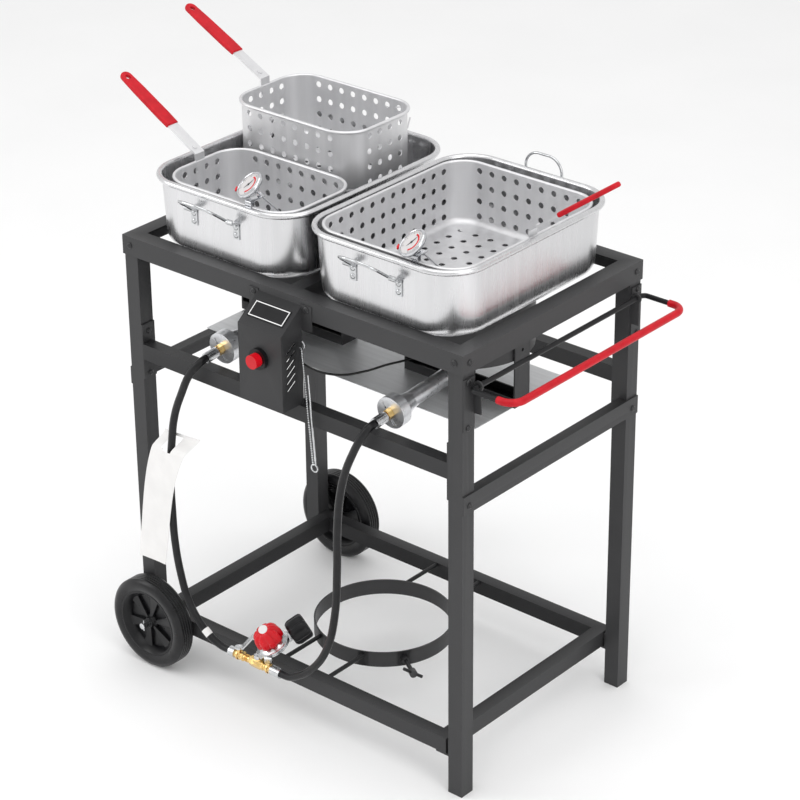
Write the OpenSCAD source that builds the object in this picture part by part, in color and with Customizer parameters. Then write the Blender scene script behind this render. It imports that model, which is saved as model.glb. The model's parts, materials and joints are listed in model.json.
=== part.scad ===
/* [Stand] */
// Height of the top frame above the floor
stand_h = 850; // [840:1:860]
// Width of the top frame, left to right
stand_w = 767; // [763:1:771]
// Depth of the top frame, front to back
stand_d = 487; // [485:1:489]
// Side of the square leg tube
leg_size = 30; // [29:1:31]
// Height of the lower shelf's top face
shelf_z = 104; // [102:1:106]
// Height of the front and back mid rails' top face
mid_rail_z = 646; // [642:1:650]
// Height of the outside mid rails' top edge
side_rail_z = 592; // [588:1:596]

/* [Wheels] */
// Diameter of the tyres
wheel_d = 178; // [176:1:180]
// Width of the tyres
tyre_w = 40; // [38:1:42]
// Diameter of the axle rod
axle_d = 12; // [10:1:13]

/* [Tank ring] */
// Outside diameter of the tank ring
ring_d = 260; // [250:2:270]
// Height of the ring's band
ring_h = 30; // [26:1:32]

/* [Burners] */
// Outside diameter of the wind guards
guard_d = 236; // [230:1:240]
// Height of the wind guards' bottom edge
guard_z = 733; // [728:1:740]
// Diameter of the air shutters
shutter_d = 58; // [54:1:60]

/* [Pans] */
// Height of the pans
pan_h = 129; // [126:1:132]
// Outside width of the pans' walls
pan_w = 330; // [326:1:330]
// Thickness of the pan metal
pan_t = 1.6; // [1.2:0.1:2]

/* [Baskets] */
// Depth of the baskets
basket_h = 118; // [112:1:120]
// Width of the half baskets' rims
half_basket_w = 290; // [284:1:291]
// Depth, front to back, of the half baskets' rims
half_basket_d = 195; // [190:1:196]
// Width of the full basket's rim
full_basket_w = 320; // [312:1:322]
// Depth, front to back, of the full basket's rim
full_basket_d = 394; // [388:1:396]
// How far the back basket is lifted out of its seat
drain_lift = 74; // [66:1:80]

/* [Hidden] */
$fn = 48;
black = "#2b2b2d";
dark = "#38383a";
silver = "#c9cbcc";
steel = "#b4b7b9";
chrome = "#d6d9dc";
brass = "#c09a4a";
red = "#c92632";
rubber = "#1d1d1e";
iron = "#3a3a3c";
white = "#f2f2f0";

// Top frame: angle iron with its corner up and out
angle_t = 2.5;
flange_w = 31;
flange_h = 36;
open_x = stand_w / 2 - flange_w;
open_y = stand_d / 2 - flange_w;
cross_x = 1;
cross_w = 28;
cross_h = 24;

// Legs and rails
tube_t = 1.5;
leg_x = stand_w / 2 - angle_t - leg_size / 2;
leg_y = stand_d / 2 - angle_t - leg_size / 2;
leg_in_x = leg_x - leg_size / 2;
leg_out_x = leg_x + leg_size / 2;
leg_in_y = leg_y - leg_size / 2;
leg_out_y = leg_y + leg_size / 2;
rail_w = 25;
rail_h = 30;
plate_t = 3;
end_plate_h = 106;
side_rail_h = 34;
side_rail_t = 3;
side_flange_w = 20;
shelf_out_y = leg_out_y - 3;
shelf_right_x = leg_in_x - 8;
shelf_in_y = shelf_out_y - rail_w;
bracket_w = 26;

// Bolts
bolt_d = 6;
bolt_head_d = 11;
bolt_head_h = 2.8;
bolt_len = 12;
frame_bolt_z = stand_h - 17;
plate_bolt_z = [mid_rail_z - 60, mid_rail_z + 22];
side_bolt_z = side_rail_z - 20;
bracket_bolt_z = [717, 800];
bracket_bolt_y = leg_y + 4;

// Wheels: the axle runs inside the shelf's left rail
fit_gap = 0.05;
axle_x = -leg_in_x + rail_w / 2;
axle_z = wheel_d / 2;
wheel_in_y = leg_out_y + 2;
axle_end_y = wheel_in_y + tyre_w + 10;
pin_y = wheel_in_y + tyre_w + 5;
hub_r = 66;
hub_rim_r = 61;
hub_w = 34;
boss_r = 17;
window_count = 6;
window_turn = 26;
web_t = 8;

// Tank ring and its clamp screw
band_t = 3;
ring_top_z = shelf_z + 3;
stub_x = 52;
stub_d = 8;
stub_z = shelf_z - 5;
screw_d = 8;
screw_angle = -33;
screw_z = ring_top_z - ring_h / 2;
screw_start = ring_d / 2 - band_t;
screw_len = 60;
nut_len = 10;
tee_len = 41;
tee_turn = -34;

// Side handle
rod_d = 9;
handle_in_x = 393;
handle_out_x = 480;
handle_y = 234;
handle_z = 790;
handle_round = 25;
pivot_round = 9;
sleeve_d = 13;
sleeve_x = 447;
ear_y = 215;
ear_t = 3;
ear_r = 9;
handle_plate_w = 27;
handle_plate_z = [712, 806];

// Burners
burner_x = [-194, 193];
guard_t = 2;
guard_top = stand_h - 13;
channel_w = 40;
channel_z = mid_rail_z;
channel_lip = 16;
channel_t = 3;
arm_z = 772;
arm_bolt_z = 750;
shield_t = 1;
shield_w = 618;
shield_d = 250;
shield_y = 6;
bowl_z = 700;
shutter_y = -200;
shutter_z = 670;
shutter_depth = 20;
shutter_t = 1.5;
tube_lean = 5;
bell_r = 27;
tube_r = 15;
tube_len = 178;
collar_r = 8;
hex_w = 19;
nipple_d = 11;
ferrule_d = 19;
ferrule_len = 20;

// Control panel
frame_face_y = -stand_d / 2;
panel_x0 = -60;
panel_x1 = 38;
panel_y = -296;
panel_z0 = 656;
panel_slope_z = 797;
panel_z1 = 838;
panel_t = 1.5;
panel_drop = 2;
slope_angle = atan2(panel_z1 - panel_slope_z, frame_face_y - panel_y);
ear_left_w = 20;
ear_right_w = 23;
ear_z = 795;
ear_h = 46;
slot_count = 6;
button_x = (panel_x0 + panel_x1) / 2;
button_z = 745;
button_d = 25;
collar_d = 38;
collar_front_y = panel_y - 8;
button_tip_y = panel_y - 22;
igniter_back_y = panel_y + 38;
badge_w = 80;
badge_d = 32;
badge_t = 1.2;

// Match holder chain
chain_top = [41, -250, 761];
chain_low = [61, -250, 548];
match_top = [54, -250, 716];
match_low = [67, -250, 548];
chain_d = 3.6;
match_d = 3;
link_r = 7;

// Gas line
hose_d = 14;
lead_d = 4;
hose_y = -262;
hose_z = 101;
hose_end_left = -142;
hose_end_right = -18;
left_route = [
    [burner_x[0], -241, 666.4], [-195, -254, 663], [-207, -263, 646], [-234, -266, 592], [-253, -266, 543],
    [-262, -266, 495], [-270, -266, 420], [-270, -266, 342], [-267, -266, 280], [-257, -266, 222],
    [-242, -265, 172], [-219, -264, 136], [-190, -263, 112], [-166, -262, 102],
    [hose_end_left, hose_y, hose_z]];
right_route = [
    [burner_x[1], -241, 666.4], [192, -254, 663], [184, -263, 647], [164, -266, 607], [146, -266, 563],
    [134, -266, 512], [128, -266, 455], [125, -266, 367], [118, -266, 280], [97, -265, 202],
    [62, -264, 147], [22, -263, 113], [0, -262, 102], [hose_end_right, hose_y, hose_z]];
electrode_at = [145, -73, 712];
electrode_turn = 57;
lead_route = [
    [button_x, igniter_back_y, button_z], [-4, -246, 742], [18, -236, 728], [45, -222, 712], [75, -198, 703],
    [105, -165, 706], [126, -130, 712], [138, -100, 712], electrode_at];
valve_x = [-121, -48];
manifold_d = 15;
valve_d = 18;
lever_len = 30;
lever_tilt = 48;
lever_w = 13;
lever_t = 2.5;
reg_at = [-56, -239, 136];
reg_tilt = -28;
reg_turn = 60;
reg_d = 63;
knob_d = 54;
knob_h = 30;
knob_z = 12;
tank_nut_d = 50;
tank_nut_x = 34;
tank_nut_len = 36;
connector_at = [-75, -266, 114];
tag_w = 76;
tag_h = 270;
tag_at = [-318, -276, 236];
tag_lean = 13;

// Pans
pan_round = 66;
pan_bottom_round = 20;
bead_r = 5.3;
pan_z = stand_h - 11;
pan_half_d = open_y + 2;
pan_left_x = -182;
pan_right_x = 178;
bail_z = pan_z + 97;
bail_w = 78;
bail_arm = 58;
bail_rod = 5;
bail_turn = 4;
bail_round = 28;
bail_end = 9;
bail_raise = 37;
bail_y = pan_half_d + 15;
barrel_x = bail_w / 2 + bail_turn + 0.5;
barrel_len = 7;
barrel_d = 9;
lug_w = 18;
lug_t = 1.5;

// Baskets
basket_t = 1.2;
basket_round = 50;
basket_bottom_round = 14;
basket_bead = 3;
basket_z = pan_z + pan_t + 8;
foot_h = 7.7;
hole_d = 11;
row_pitch = 28.5;
first_hole_z = 16;
row_count = 4;
floor_pitch = 33;
front_basket_x = -174;
front_basket_y = -112;
back_basket_x = -203;
back_basket_y = 90;
full_basket_x = 180;
full_basket_y = -6;
wall_in = 2 * basket_bead - basket_t;
hook_d = 3;
hook_x = back_basket_x + 94;
hook_line = [[-basket_t / 2, -17], [20, -22], [22, -40], [15, -56]];

// Basket handles
strap_w = 22;
strap_t = 3;
strap_rise = 12;
front_tilt = 30;
back_tilt = 27;
full_tilt = 36;
grip_len = 137;
grip_start = 73;
grip_w = 27;
grip_t = 9;
tang_len = 172;
hang_hole_d = 10;

// Thermometers
dial_d = 54;
dial_t = 10;
probe_d = 3.6;
probe_len = 165;
dial_tilt = 42;
dial_turn = -121;
left_dial = [-119, -198, 1000];
right_dial = [240, -200, 995];
clip_w = 14;
clip_t = 1.5;
clip_reach = 7.9;
clip_z = 974;

// The middle of the object's box, from the middle of the top frame
shift_x = (full_basket_x + full_basket_w / 2 + back_basket_x - half_basket_w / 2) / 2;
shift_y = (button_tip_y + axle_end_y) / 2;

module place()
    translate([-shift_x, -shift_y, 0])
        children();

module rod(a, b, d)
    translate(a)
        rotate([0, acos((b[2] - a[2]) / norm(b - a)), atan2(b[1] - a[1], b[0] - a[0])])
            cylinder(d = d, h = norm(b - a));

module bend(r, d)
    rotate_extrude(angle = 90)
        translate([r, 0])
            circle(d = d);

function unit(v) = v / norm(v);
function left_of(a, b) = let (u = unit(b - a)) [-u[1], u[0]];
function miter(m, n) = (m + n) / (1 + m * n);

// One side of a bent strip whose middle follows the points p, at a distance h
function strip_side(p, h) = [
    for (i = [0 : len(p) - 1])
        let (n = left_of(p[max(i - 1, 0)], p[max(i, 1)]))
        let (m = left_of(p[min(i, len(p) - 2)], p[min(i + 1, len(p) - 1)]))
            p[i] + h * miter(n, m)];
function reversed(p) = [for (i = [len(p) - 1 : -1 : 0]) p[i]];

// Flat metal of thickness t and width w, bent along points in the xz plane
module band(p, t, w)
    translate([0, w / 2, 0])
        rotate([90, 0, 0])
            linear_extrude(w)
                polygon(concat(strip_side(p, t / 2), reversed(strip_side(p, -t / 2))));

// A box centred in x and y
module block(w, d, h)
    translate([-w / 2, -d / 2, 0])
        cube([w, d, h]);

// Four copies, one in each quarter
module quarters()
    for (sx = [-1, 1], sy = [-1, 1])
        mirror([(1 - sx) / 2, 0, 0])
            mirror([0, (1 - sy) / 2, 0])
                children();

// A pan-head bolt whose head sits on the plane z = 0 and points up
module bolt() {
    cylinder(d = bolt_head_d, h = bolt_head_h / 2);
    translate([0, 0, bolt_head_h / 2])
        cylinder(d1 = bolt_head_d, d2 = bolt_head_d * 0.6, h = bolt_head_h / 2);
    translate([0, 0, -bolt_len])
        cylinder(d = bolt_d, h = bolt_len);
}

module bolt_at(p, dir)
    translate(p)
        rotate(dir)
            bolt();

// Every bolt of the stand, used for the bolts and for their holes
module all_bolts() {
    quarters() {
        bolt_at([leg_x, stand_d / 2, frame_bolt_z], [-90, 0, 0]);
        bolt_at([stand_w / 2, leg_y, frame_bolt_z], [0, 90, 0]);
        for (z = plate_bolt_z)
            bolt_at([leg_in_x - plate_t, leg_y, z], [0, -90, 0]);
        bolt_at([leg_out_x + side_rail_t, leg_y, side_bolt_z], [0, 90, 0]);
    }
    for (side = [-1, 1]) {
        for (z = bracket_bolt_z)
            bolt_at([leg_out_x + plate_t, side * bracket_bolt_y, z], [0, 90, 0]);
        bolt_at([leg_in_x - plate_t, side * leg_y, shelf_z - 10], [0, -90, 0]);
    }
}

module square_tube(w, d, h, t)
    difference() {
        block(w, d, h);
        translate([0, 0, -1])
            block(w - 2 * t, d - 2 * t, h + 2);
    }

module top_frame()
    color(black) place() difference() {
        union() {
            translate([0, 0, stand_h - flange_h])
                difference() {
                    block(stand_w, stand_d, flange_h);
                    translate([0, 0, -1])
                        block(stand_w - 2 * angle_t, stand_d - 2 * angle_t, flange_h + 1 - angle_t);
                    block(2 * open_x, 2 * open_y, flange_h + 1);
                }
            translate([cross_x, 0, stand_h - cross_h])
                difference() {
                    block(cross_w, stand_d - 2, cross_h);
                    translate([0, 0, -1])
                        block(cross_w - 2 * angle_t, stand_d, cross_h + 1 - angle_t);
                }
        }
        all_bolts();
        panel_bolts();
    }

module legs(side, bottom)
    for (end = [-1, 1])
        translate([side * leg_x, end * leg_y, bottom])
            square_tube(leg_size, leg_size, stand_h - angle_t - bottom, tube_t);

module legs_left()
    color(black) place() difference() {
        legs(-1, shelf_z - rail_h);
        all_bolts();
    }

module legs_right()
    color(black) place() difference() {
        legs(1, 0);
        all_bolts();
    }

module mid_rail(end)
    color(black) place() difference() {
        union() {
            translate([0, end * (leg_out_y - rail_w / 2), mid_rail_z - rail_h / 2])
                rotate([0, 90, 0])
                    translate([0, 0, -(leg_in_x - plate_t)])
                        square_tube(rail_h, rail_w, 2 * (leg_in_x - plate_t), tube_t);
            for (side = [-1, 1])
                translate([side * (leg_in_x - plate_t / 2), end * leg_y, mid_rail_z - 69])
                    block(plate_t, leg_size, end_plate_h);
        }
        all_bolts();
    }

module mid_rail_front()
    mid_rail(-1);

module mid_rail_back()
    mid_rail(1);

module side_rails()
    color(black) place() difference() {
        for (side = [0, 1])
            mirror([side, 0, 0]) {
                translate([leg_out_x + side_rail_t / 2, 0, side_rail_z - side_rail_h])
                    block(side_rail_t, 2 * leg_out_y, side_rail_h);
                translate([leg_out_x + side_rail_t - side_flange_w / 2, 0, side_rail_z - side_rail_t])
                    block(side_flange_w, 2 * leg_in_y - 2, side_rail_t);
            }
        all_bolts();
    }

module shelf_frame()
    color(black) place() difference() {
        translate([(shelf_right_x - leg_in_x) / 2, 0, shelf_z - rail_h])
            difference() {
                block(shelf_right_x + leg_in_x, 2 * shelf_out_y, rail_h);
                translate([0, 0, -1])
                    block(shelf_right_x + leg_in_x - 2 * rail_w, 2 * shelf_in_y, rail_h + 2);
                translate([0, 0, tube_t])
                    difference() {
                        block(shelf_right_x + leg_in_x - 2 * tube_t, 2 * (shelf_out_y - tube_t),
                            rail_h - 2 * tube_t);
                        translate([0, 0, -1])
                            block(shelf_right_x + leg_in_x - 2 * (rail_w - tube_t),
                                2 * (shelf_in_y + tube_t), rail_h);
                    }
            }
        translate([axle_x, stand_d, axle_z])
            rotate([90, 0, 0])
                cylinder(d = axle_d, h = 2 * stand_d);
    }

module shelf_brackets()
    color(black) place() difference() {
        for (side = [0, 1])
            mirror([0, side, 0]) {
                translate([leg_in_x - plate_t / 2, shelf_out_y - bracket_w / 2, shelf_z - rail_h - plate_t])
                    block(plate_t, bracket_w, rail_h + plate_t);
                translate([leg_in_x - 15, shelf_out_y - bracket_w / 2, shelf_z - rail_h - plate_t])
                    block(30, bracket_w, plate_t);
            }
        all_bolts();
    }

module tank_ring()
    color(black) place() difference() {
        union() {
            translate([0, 0, ring_top_z - ring_h])
                cylinder(d = ring_d, h = ring_h, $fn = 96);
            for (x = [-stub_x, stub_x], side = [0, 1])
                mirror([0, side, 0])
                    rod([x, ring_d / 2 - 15, stub_z], [x, shelf_in_y, stub_z], stub_d);
            rotate(screw_angle)
                rod([ring_d / 2 - 2, 0, screw_z], [ring_d / 2 + nut_len, 0, screw_z], 2 * screw_d);
        }
        translate([0, 0, ring_top_z - ring_h - 1])
            cylinder(d = ring_d - 2 * band_t, h = ring_h + 2, $fn = 96);
        rotate(screw_angle)
            rod([0, 0, screw_z], [ring_d, 0, screw_z], screw_d + 2 * fit_gap);
    }

module tank_screw()
    color(steel) place() rotate(screw_angle) {
        rod([screw_start, 0, screw_z], [screw_start + screw_len, 0, screw_z], screw_d);
        rod([screw_start + screw_len - 12, 0, screw_z], [screw_start + screw_len, 0, screw_z], 1.8 * screw_d);
        translate([screw_start + screw_len - 6, 0, screw_z])
            rotate([tee_turn, 0, 0])
                rod([0, -tee_len / 2, 0], [0, tee_len / 2, 0], 6);
    }

module frame_bolts()
    color(dark) place() {
        all_bolts();
        panel_bolts();
    }

module axle()
    color(steel) place() {
        rod([axle_x, -axle_end_y, axle_z], [axle_x, axle_end_y, axle_z], axle_d);
        for (side = [-1, 1])
            rod([axle_x, side * pin_y, axle_z - 11], [axle_x, side * pin_y, axle_z + 11], 2.4);
    }

// A wheel part built on its axis, set in front or behind
module at_wheel(end)
    translate([axle_x, end * (wheel_in_y + tyre_w / 2), axle_z])
        rotate([90, 0, 0])
            children();

module tyre(end)
    color(rubber) place() at_wheel(end)
        rotate_extrude($fn = 96)
            difference() {
                translate([hub_r, -tyre_w / 2])
                    square([wheel_d / 2 - hub_r, tyre_w]);
                for (side = [-1, 1]) {
                    translate([wheel_d / 2 - 2, side * 6 - 1.5])
                        square([3, 3]);
                    translate([wheel_d / 2, side * tyre_w / 2])
                        rotate(45)
                            square(7, center = true);
                }
            }

module tyre_front()
    tyre(-1);

module tyre_back()
    tyre(1);

module hub(end)
    color(dark) place() at_wheel(end)
        difference() {
            union() {
                translate([0, 0, -hub_w / 2])
                    difference() {
                        cylinder(r = hub_r, h = hub_w, $fn = 96);
                        translate([0, 0, -1])
                            cylinder(r = hub_rim_r, h = hub_w + 2, $fn = 96);
                    }
                translate([0, 0, -web_t / 2])
                    linear_extrude(web_t)
                        difference() {
                            circle(r = hub_rim_r + 1, $fn = 96);
                            intersection() {
                                difference() {
                                    circle(r = hub_rim_r - 5, $fn = 96);
                                    circle(r = boss_r + 3);
                                }
                                for (i = [0 : window_count - 1])
                                    rotate(i * 360 / window_count)
                                        polygon([[0, 0], [hub_r, -hub_r * tan(window_turn / 2)],
                                            [hub_r, hub_r * tan(window_turn / 2)]]);
                            }
                        }
                translate([0, 0, -tyre_w / 2])
                    cylinder(r = boss_r, h = tyre_w);
            }
            translate([0, 0, -tyre_w])
                cylinder(d = axle_d + 2 * fit_gap, h = 2 * tyre_w);
        }

module hub_front()
    hub(-1);

module hub_back()
    hub(1);

module handle_brackets()
    color(black) place() difference() {
        for (side = [0, 1])
            mirror([0, side, 0]) {
                translate([leg_out_x, ear_y - ear_t / 2, handle_plate_z[0]])
                    cube([plate_t, handle_plate_w, handle_plate_z[1] - handle_plate_z[0]]);
                translate([leg_out_x, ear_y - ear_t / 2, handle_z - 50])
                    cube([handle_in_x - leg_out_x + 6, ear_t, 50]);
                rod([handle_in_x, ear_y - ear_t / 2, handle_z],
                    [handle_in_x, ear_y + ear_t / 2, handle_z], 2 * ear_r);
            }
        rod([handle_in_x, -ear_y - 9, handle_z], [handle_in_x, ear_y + 9, handle_z], rod_d + 2 * fit_gap);
        all_bolts();
    }

// The handle's closed loop with a given rod size, from a given x outwards
module handle_end(d, x)
    for (side = [0, 1])
        mirror([0, side, 0]) {
            rod([x, handle_y, handle_z], [handle_out_x - handle_round, handle_y, handle_z], d);
            translate([handle_out_x - handle_round, handle_y - handle_round, handle_z])
                bend(handle_round, d);
            rod([handle_out_x, 0, handle_z], [handle_out_x, handle_y - handle_round, handle_z], d);
        }

module side_handle()
    color(dark) place() {
        handle_end(rod_d, handle_in_x + pivot_round);
        for (side = [0, 1])
            mirror([0, side, 0]) {
                translate([handle_in_x + pivot_round, handle_y - pivot_round, handle_z])
                    rotate(90)
                        bend(pivot_round, rod_d);
                rod([handle_in_x, 0, handle_z], [handle_in_x, handle_y - pivot_round, handle_z], rod_d);
            }
    }

module handle_grip()
    color(red) place() difference() {
        handle_end(sleeve_d, sleeve_x);
        handle_end(rod_d, sleeve_x - 1);
    }

module heat_shield()
    color(silver) place()
        translate([0, shield_y, channel_z - shield_t])
            block(shield_w, shield_d, shield_t);

module wind_guards()
    color(black) place() difference() {
        for (x = burner_x)
            translate([x, 0, guard_z])
                difference() {
                    cylinder(d = guard_d, h = guard_top - guard_z, $fn = 96);
                    translate([0, 0, -1])
                        cylinder(d = guard_d - 2 * guard_t, h = guard_top - guard_z + 2, $fn = 96);
                }
        bracket_bolts();
    }

module bracket_bolts()
    for (x = burner_x, side = [-1, 1])
        bolt_at([x + side * (guard_d / 2 + channel_t + 0.8), 0, arm_bolt_z], [0, side * 90, 0]);

module burner_brackets()
    color(dark) place() difference() {
        for (x = burner_x, side = [0, 1])
            translate([x, 0, channel_z])
                mirror([side, 0, 0]) {
                    translate([0, -channel_w / 2, 0])
                        cube([guard_d / 2 + channel_t, channel_w, channel_t]);
                    for (lip = [-1, 1])
                        translate([0, lip * (channel_w / 2 - channel_t / 2) - channel_t / 2, 0])
                            cube([guard_d / 2 + channel_t, channel_t, channel_lip]);
                    translate([guard_d / 2 + 0.8, -channel_w / 2, 0])
                        cube([channel_t, channel_w, arm_z - channel_z]);
                }
        bracket_bolts();
    }

// Local frame on a mixing tube: z runs back along the tube from the shutter's face
module at_tube(i)
    translate([burner_x[i], shutter_y, shutter_z])
        rotate([tube_lean - 90, 0, 0])
            children();

module burner(i) {
    difference() {
        union() {
            translate([burner_x[i], 0, channel_z + channel_t])
                cylinder(r = 16, h = bowl_z - channel_z);
            translate([burner_x[i], 0, bowl_z])
                rotate_extrude()
                    polygon([[0, 0], [30, 0], [72, 26], [80, 30], [80, 38], [70, 42], [0, 46]]);
            at_tube(i)
                translate([0, 0, tube_len - 14])
                    cylinder(r = tube_r + 6, h = 30);
        }
        for (ring = [[24, 8], [42, 14], [60, 20]])
            for (k = [1 : ring[1]])
                translate([burner_x[i], 0, bowl_z + 30])
                    rotate(k * 360 / ring[1])
                        translate([ring[0], 0, 0])
                            cylinder(d = 4, h = 20, $fn = 16);
        at_tube(i)
            translate([0, 0, tube_len - 15])
                cylinder(r = tube_r, h = 15);
    }
}

module burners()
    color(iron) place()
        for (i = [0, 1])
            burner(i);

module mixing_tube()
    difference() {
        union() {
            translate([0, 0, 2])
                cylinder(r = bell_r, h = 3);
            translate([0, 0, 5])
                cylinder(r1 = bell_r, r2 = tube_r, h = 45);
            translate([0, 0, 50])
                cylinder(r = tube_r, h = tube_len - 50);
        }
        translate([0, 0, 5])
            cylinder(r1 = bell_r - 2, r2 = tube_r - 2, h = 45.01);
        translate([0, 0, 50])
            cylinder(r = tube_r - 2, h = tube_len);
        air_openings(0);
        cylinder(r = collar_r, h = 10);
    }

// Two facing air openings between the centre and the rim of a disc
module air_openings(turn)
    rotate(turn)
        intersection() {
            difference() {
                cylinder(r = 23, h = 12, center = true);
                cylinder(r = 12, h = 14, center = true);
            }
            cube([60, 15, 14], center = true);
        }

module mixing_tubes()
    color(chrome) place()
        for (i = [0, 1])
            at_tube(i)
                mixing_tube();

module shutter(i)
    color(chrome) place() at_tube(i)
        difference() {
            cylinder(d = shutter_d, h = shutter_depth);
            translate([0, 0, shutter_t])
                cylinder(d = shutter_d - 2 * shutter_t, h = shutter_depth);
            cylinder(r = collar_r + fit_gap, h = 10, center = true);
            air_openings(60);
        }

module shutter_left()
    shutter(0);

module shutter_right()
    shutter(1);

module gas_orifices()
    color(brass) place()
        for (i = [0, 1])
            at_tube(i)
                difference() {
                    union() {
                        translate([0, 0, -0.4])
                            cylinder(r = collar_r, h = 8.4);
                        translate([0, 0, -12])
                            cylinder(d = hex_w, h = 11.6, $fn = 6);
                        translate([0, 0, -21])
                            cylinder(d = nipple_d, h = 9);
                    }
                    translate([0, 0, -22])
                        cylinder(d = 3, h = 31);
                }

module panel_profile(grow, drop)
    polygon([[panel_y + grow, panel_z0 - grow], [panel_y + grow, panel_slope_z - drop / 3],
        [frame_face_y, panel_z1 - drop], [frame_face_y + grow, panel_z1 - drop],
        [frame_face_y + grow, panel_z0 - grow]]);

module panel_bolts() {
    for (x = [panel_x0 - ear_left_w / 2, panel_x1 + ear_right_w / 2])
        bolt_at([x, frame_face_y - panel_t, stand_h - 17], [90, 0, 0]);
}

module control_panel()
    color(black) place() difference() {
        union() {
            translate([panel_x0, 0, 0])
                rotate([90, 0, 90])
                    linear_extrude(panel_x1 - panel_x0)
                        panel_profile(0, 0);
            translate([panel_x0 - ear_left_w, frame_face_y - panel_t, ear_z])
                cube([ear_left_w + 1, panel_t, ear_h]);
            translate([panel_x1 - 1, frame_face_y - panel_t, ear_z])
                cube([ear_right_w + 1, panel_t, ear_h]);
        }
        translate([panel_x0 + panel_t, 0, 0])
            rotate([90, 0, 90])
                linear_extrude(panel_x1 - panel_x0 - 2 * panel_t)
                    panel_profile(panel_t, panel_drop);
        for (k = [0 : slot_count - 1])
            translate([panel_x1 - 5, panel_y + 14, 690 + 14 * k])
                rotate([35, 0, 0])
                    cube([10, 24, 3]);
        rod([button_x, panel_y - 5, button_z], [button_x, panel_y + 5, button_z], button_d + 5);
        panel_bolts();
    }

module badge_plate()
    color(black) place()
        translate([button_x, (panel_y + frame_face_y) / 2, (panel_slope_z + panel_z1) / 2])
            rotate([slope_angle, 0, 0])
                block(badge_w, badge_d, badge_t);

module igniter_collar()
    color(black) place() difference() {
        union() {
            rod([button_x, collar_front_y, button_z], [button_x, panel_y, button_z], collar_d);
            rod([button_x, panel_y - 1, button_z], [button_x, igniter_back_y, button_z], button_d + 5);
            rod([button_x, panel_y + panel_t, button_z], [button_x, panel_y + 7, button_z], collar_d - 2);
        }
        rod([button_x, collar_front_y - 1, button_z],
            [button_x, panel_y + 28, button_z], button_d + 2 * fit_gap);
    }

module igniter_button()
    color(red) place()
        rod([button_x, button_tip_y, button_z], [button_x, panel_y + 14, button_z], button_d);

// Points of a smooth curve through a route, with two steps to each leg
function lerp3(a, b, c, d, t) =
    0.5 * ((2 * b) + (c - a) * t + (2 * a - 5 * b + 4 * c - d) * t * t + (3 * b - a - 3 * c + d) * t * t * t);
function at(r, i) = r[max(0, min(len(r) - 1, i))];
function smooth(r) = concat(
    [for (i = [0 : len(r) - 2], t = [0, 0.5]) lerp3(at(r, i - 1), r[i], r[i + 1], at(r, i + 2), t)],
    [r[len(r) - 1]]);
function heading(p, i) = unit(at(p, i + 1) - at(p, i - 1));
function ring(c, t, ref, r, n) =
    let (a = unit(cross(t, ref)), b = cross(t, a))
    [for (k = [0 : n - 1]) c + r * (cos(360 * k / n) * a + sin(360 * k / n) * b)];

// A round cord swept along a list of points
module cord(p, d, n, ref) {
    last = len(p) - 1;
    points = [for (i = [0 : last]) each ring(p[i], heading(p, i), ref, d / 2, n)];
    sides = [for (i = [0 : last - 1], k = [0 : n - 1])
        [i * n + k, i * n + (k + 1) % n, (i + 1) * n + (k + 1) % n, (i + 1) * n + k]];
    start = [for (k = [n - 1 : -1 : 0]) k];
    end = [for (k = [0 : n - 1]) last * n + k];
    polyhedron(points = points, faces = concat([start], sides, [end]));
}

module igniter_lead()
    color(rubber) place()
        cord(smooth(lead_route), lead_d, 8, [0, 0, 1]);

module igniter_electrode()
    color(white) place()
        translate(electrode_at) {
            translate([0, 0, -4])
                cylinder(d = 9, h = 34);
            translate([0, 0, 29])
                cylinder(d = 2.4, h = 13);
            rotate(electrode_turn)
                translate([0, -2, 19])
                    cube([8, 4, 8]);
        }

module match_chain()
    color(steel) place() {
        rod(chain_top, chain_low, chain_d);
        rod(match_top, match_low, match_d);
        for (c = [chain_top + [0, 0, link_r], chain_low + [3, 0, 1 - link_r]])
            translate(c)
                rotate([90, 0, 0])
                    rotate_extrude()
                        translate([link_r, 0])
                            circle(d = 2.4, $fn = 16);
    }

module hose_left()
    color(rubber) place()
        cord(smooth(left_route), hose_d, 10, [1, 1, 0]);

module hose_right()
    color(rubber) place()
        cord(smooth(right_route), hose_d, 10, [1, 1, 0]);

module hose_ferrules()
    color(steel) place() {
        for (i = [0, 1])
            at_tube(i)
                difference() {
                    translate([0, 0, -21 - ferrule_len])
                        cylinder(d = ferrule_d, h = ferrule_len + 6);
                    translate([0, 0, -21])
                        cylinder(d = nipple_d, h = 7);
                }
        rod([hose_end_left, hose_y, hose_z], [valve_x[0] - 8, hose_y, hose_z], ferrule_d);
        rod([valve_x[1] + 8, hose_y, hose_z], [hose_end_right, hose_y, hose_z], ferrule_d);
    }

module hang_tag()
    color(white) place()
        translate(tag_at)
            rotate([0, tag_lean, 0])
                block(tag_w, 0.8, tag_h);

module gas_manifold()
    color(brass) place() {
        rod([valve_x[0] - 8, hose_y, hose_z], [valve_x[1] + 8, hose_y, hose_z], manifold_d);
        for (x = valve_x) {
            rod([x - 7, hose_y, hose_z], [x + 7, hose_y, hose_z], valve_d);
            rod([x, hose_y, hose_z], [x, hose_y, hose_z + 13], 10);
        }
        rod([-92, hose_y, hose_z], [-62, hose_y, hose_z], 20);
        rod([connector_at[0], hose_y, hose_z], [connector_at[0], hose_y, hose_z + 10], 18);
    }

// A bent lever on a valve's stem, its blade along +x
module lever(x, turn)
    translate([x, hose_y, hose_z + 13.3])
        rotate(turn) {
            cylinder(d = lever_w + 2, h = 3);
            band([[0, 1.5], [7, 1.5], [7 + lever_len * cos(lever_tilt), 1.5 + lever_len * sin(lever_tilt)]],
                lever_t, lever_w);
        }

module valve_lever_left()
    color(steel) place()
        lever(valve_x[0], 45);

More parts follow.
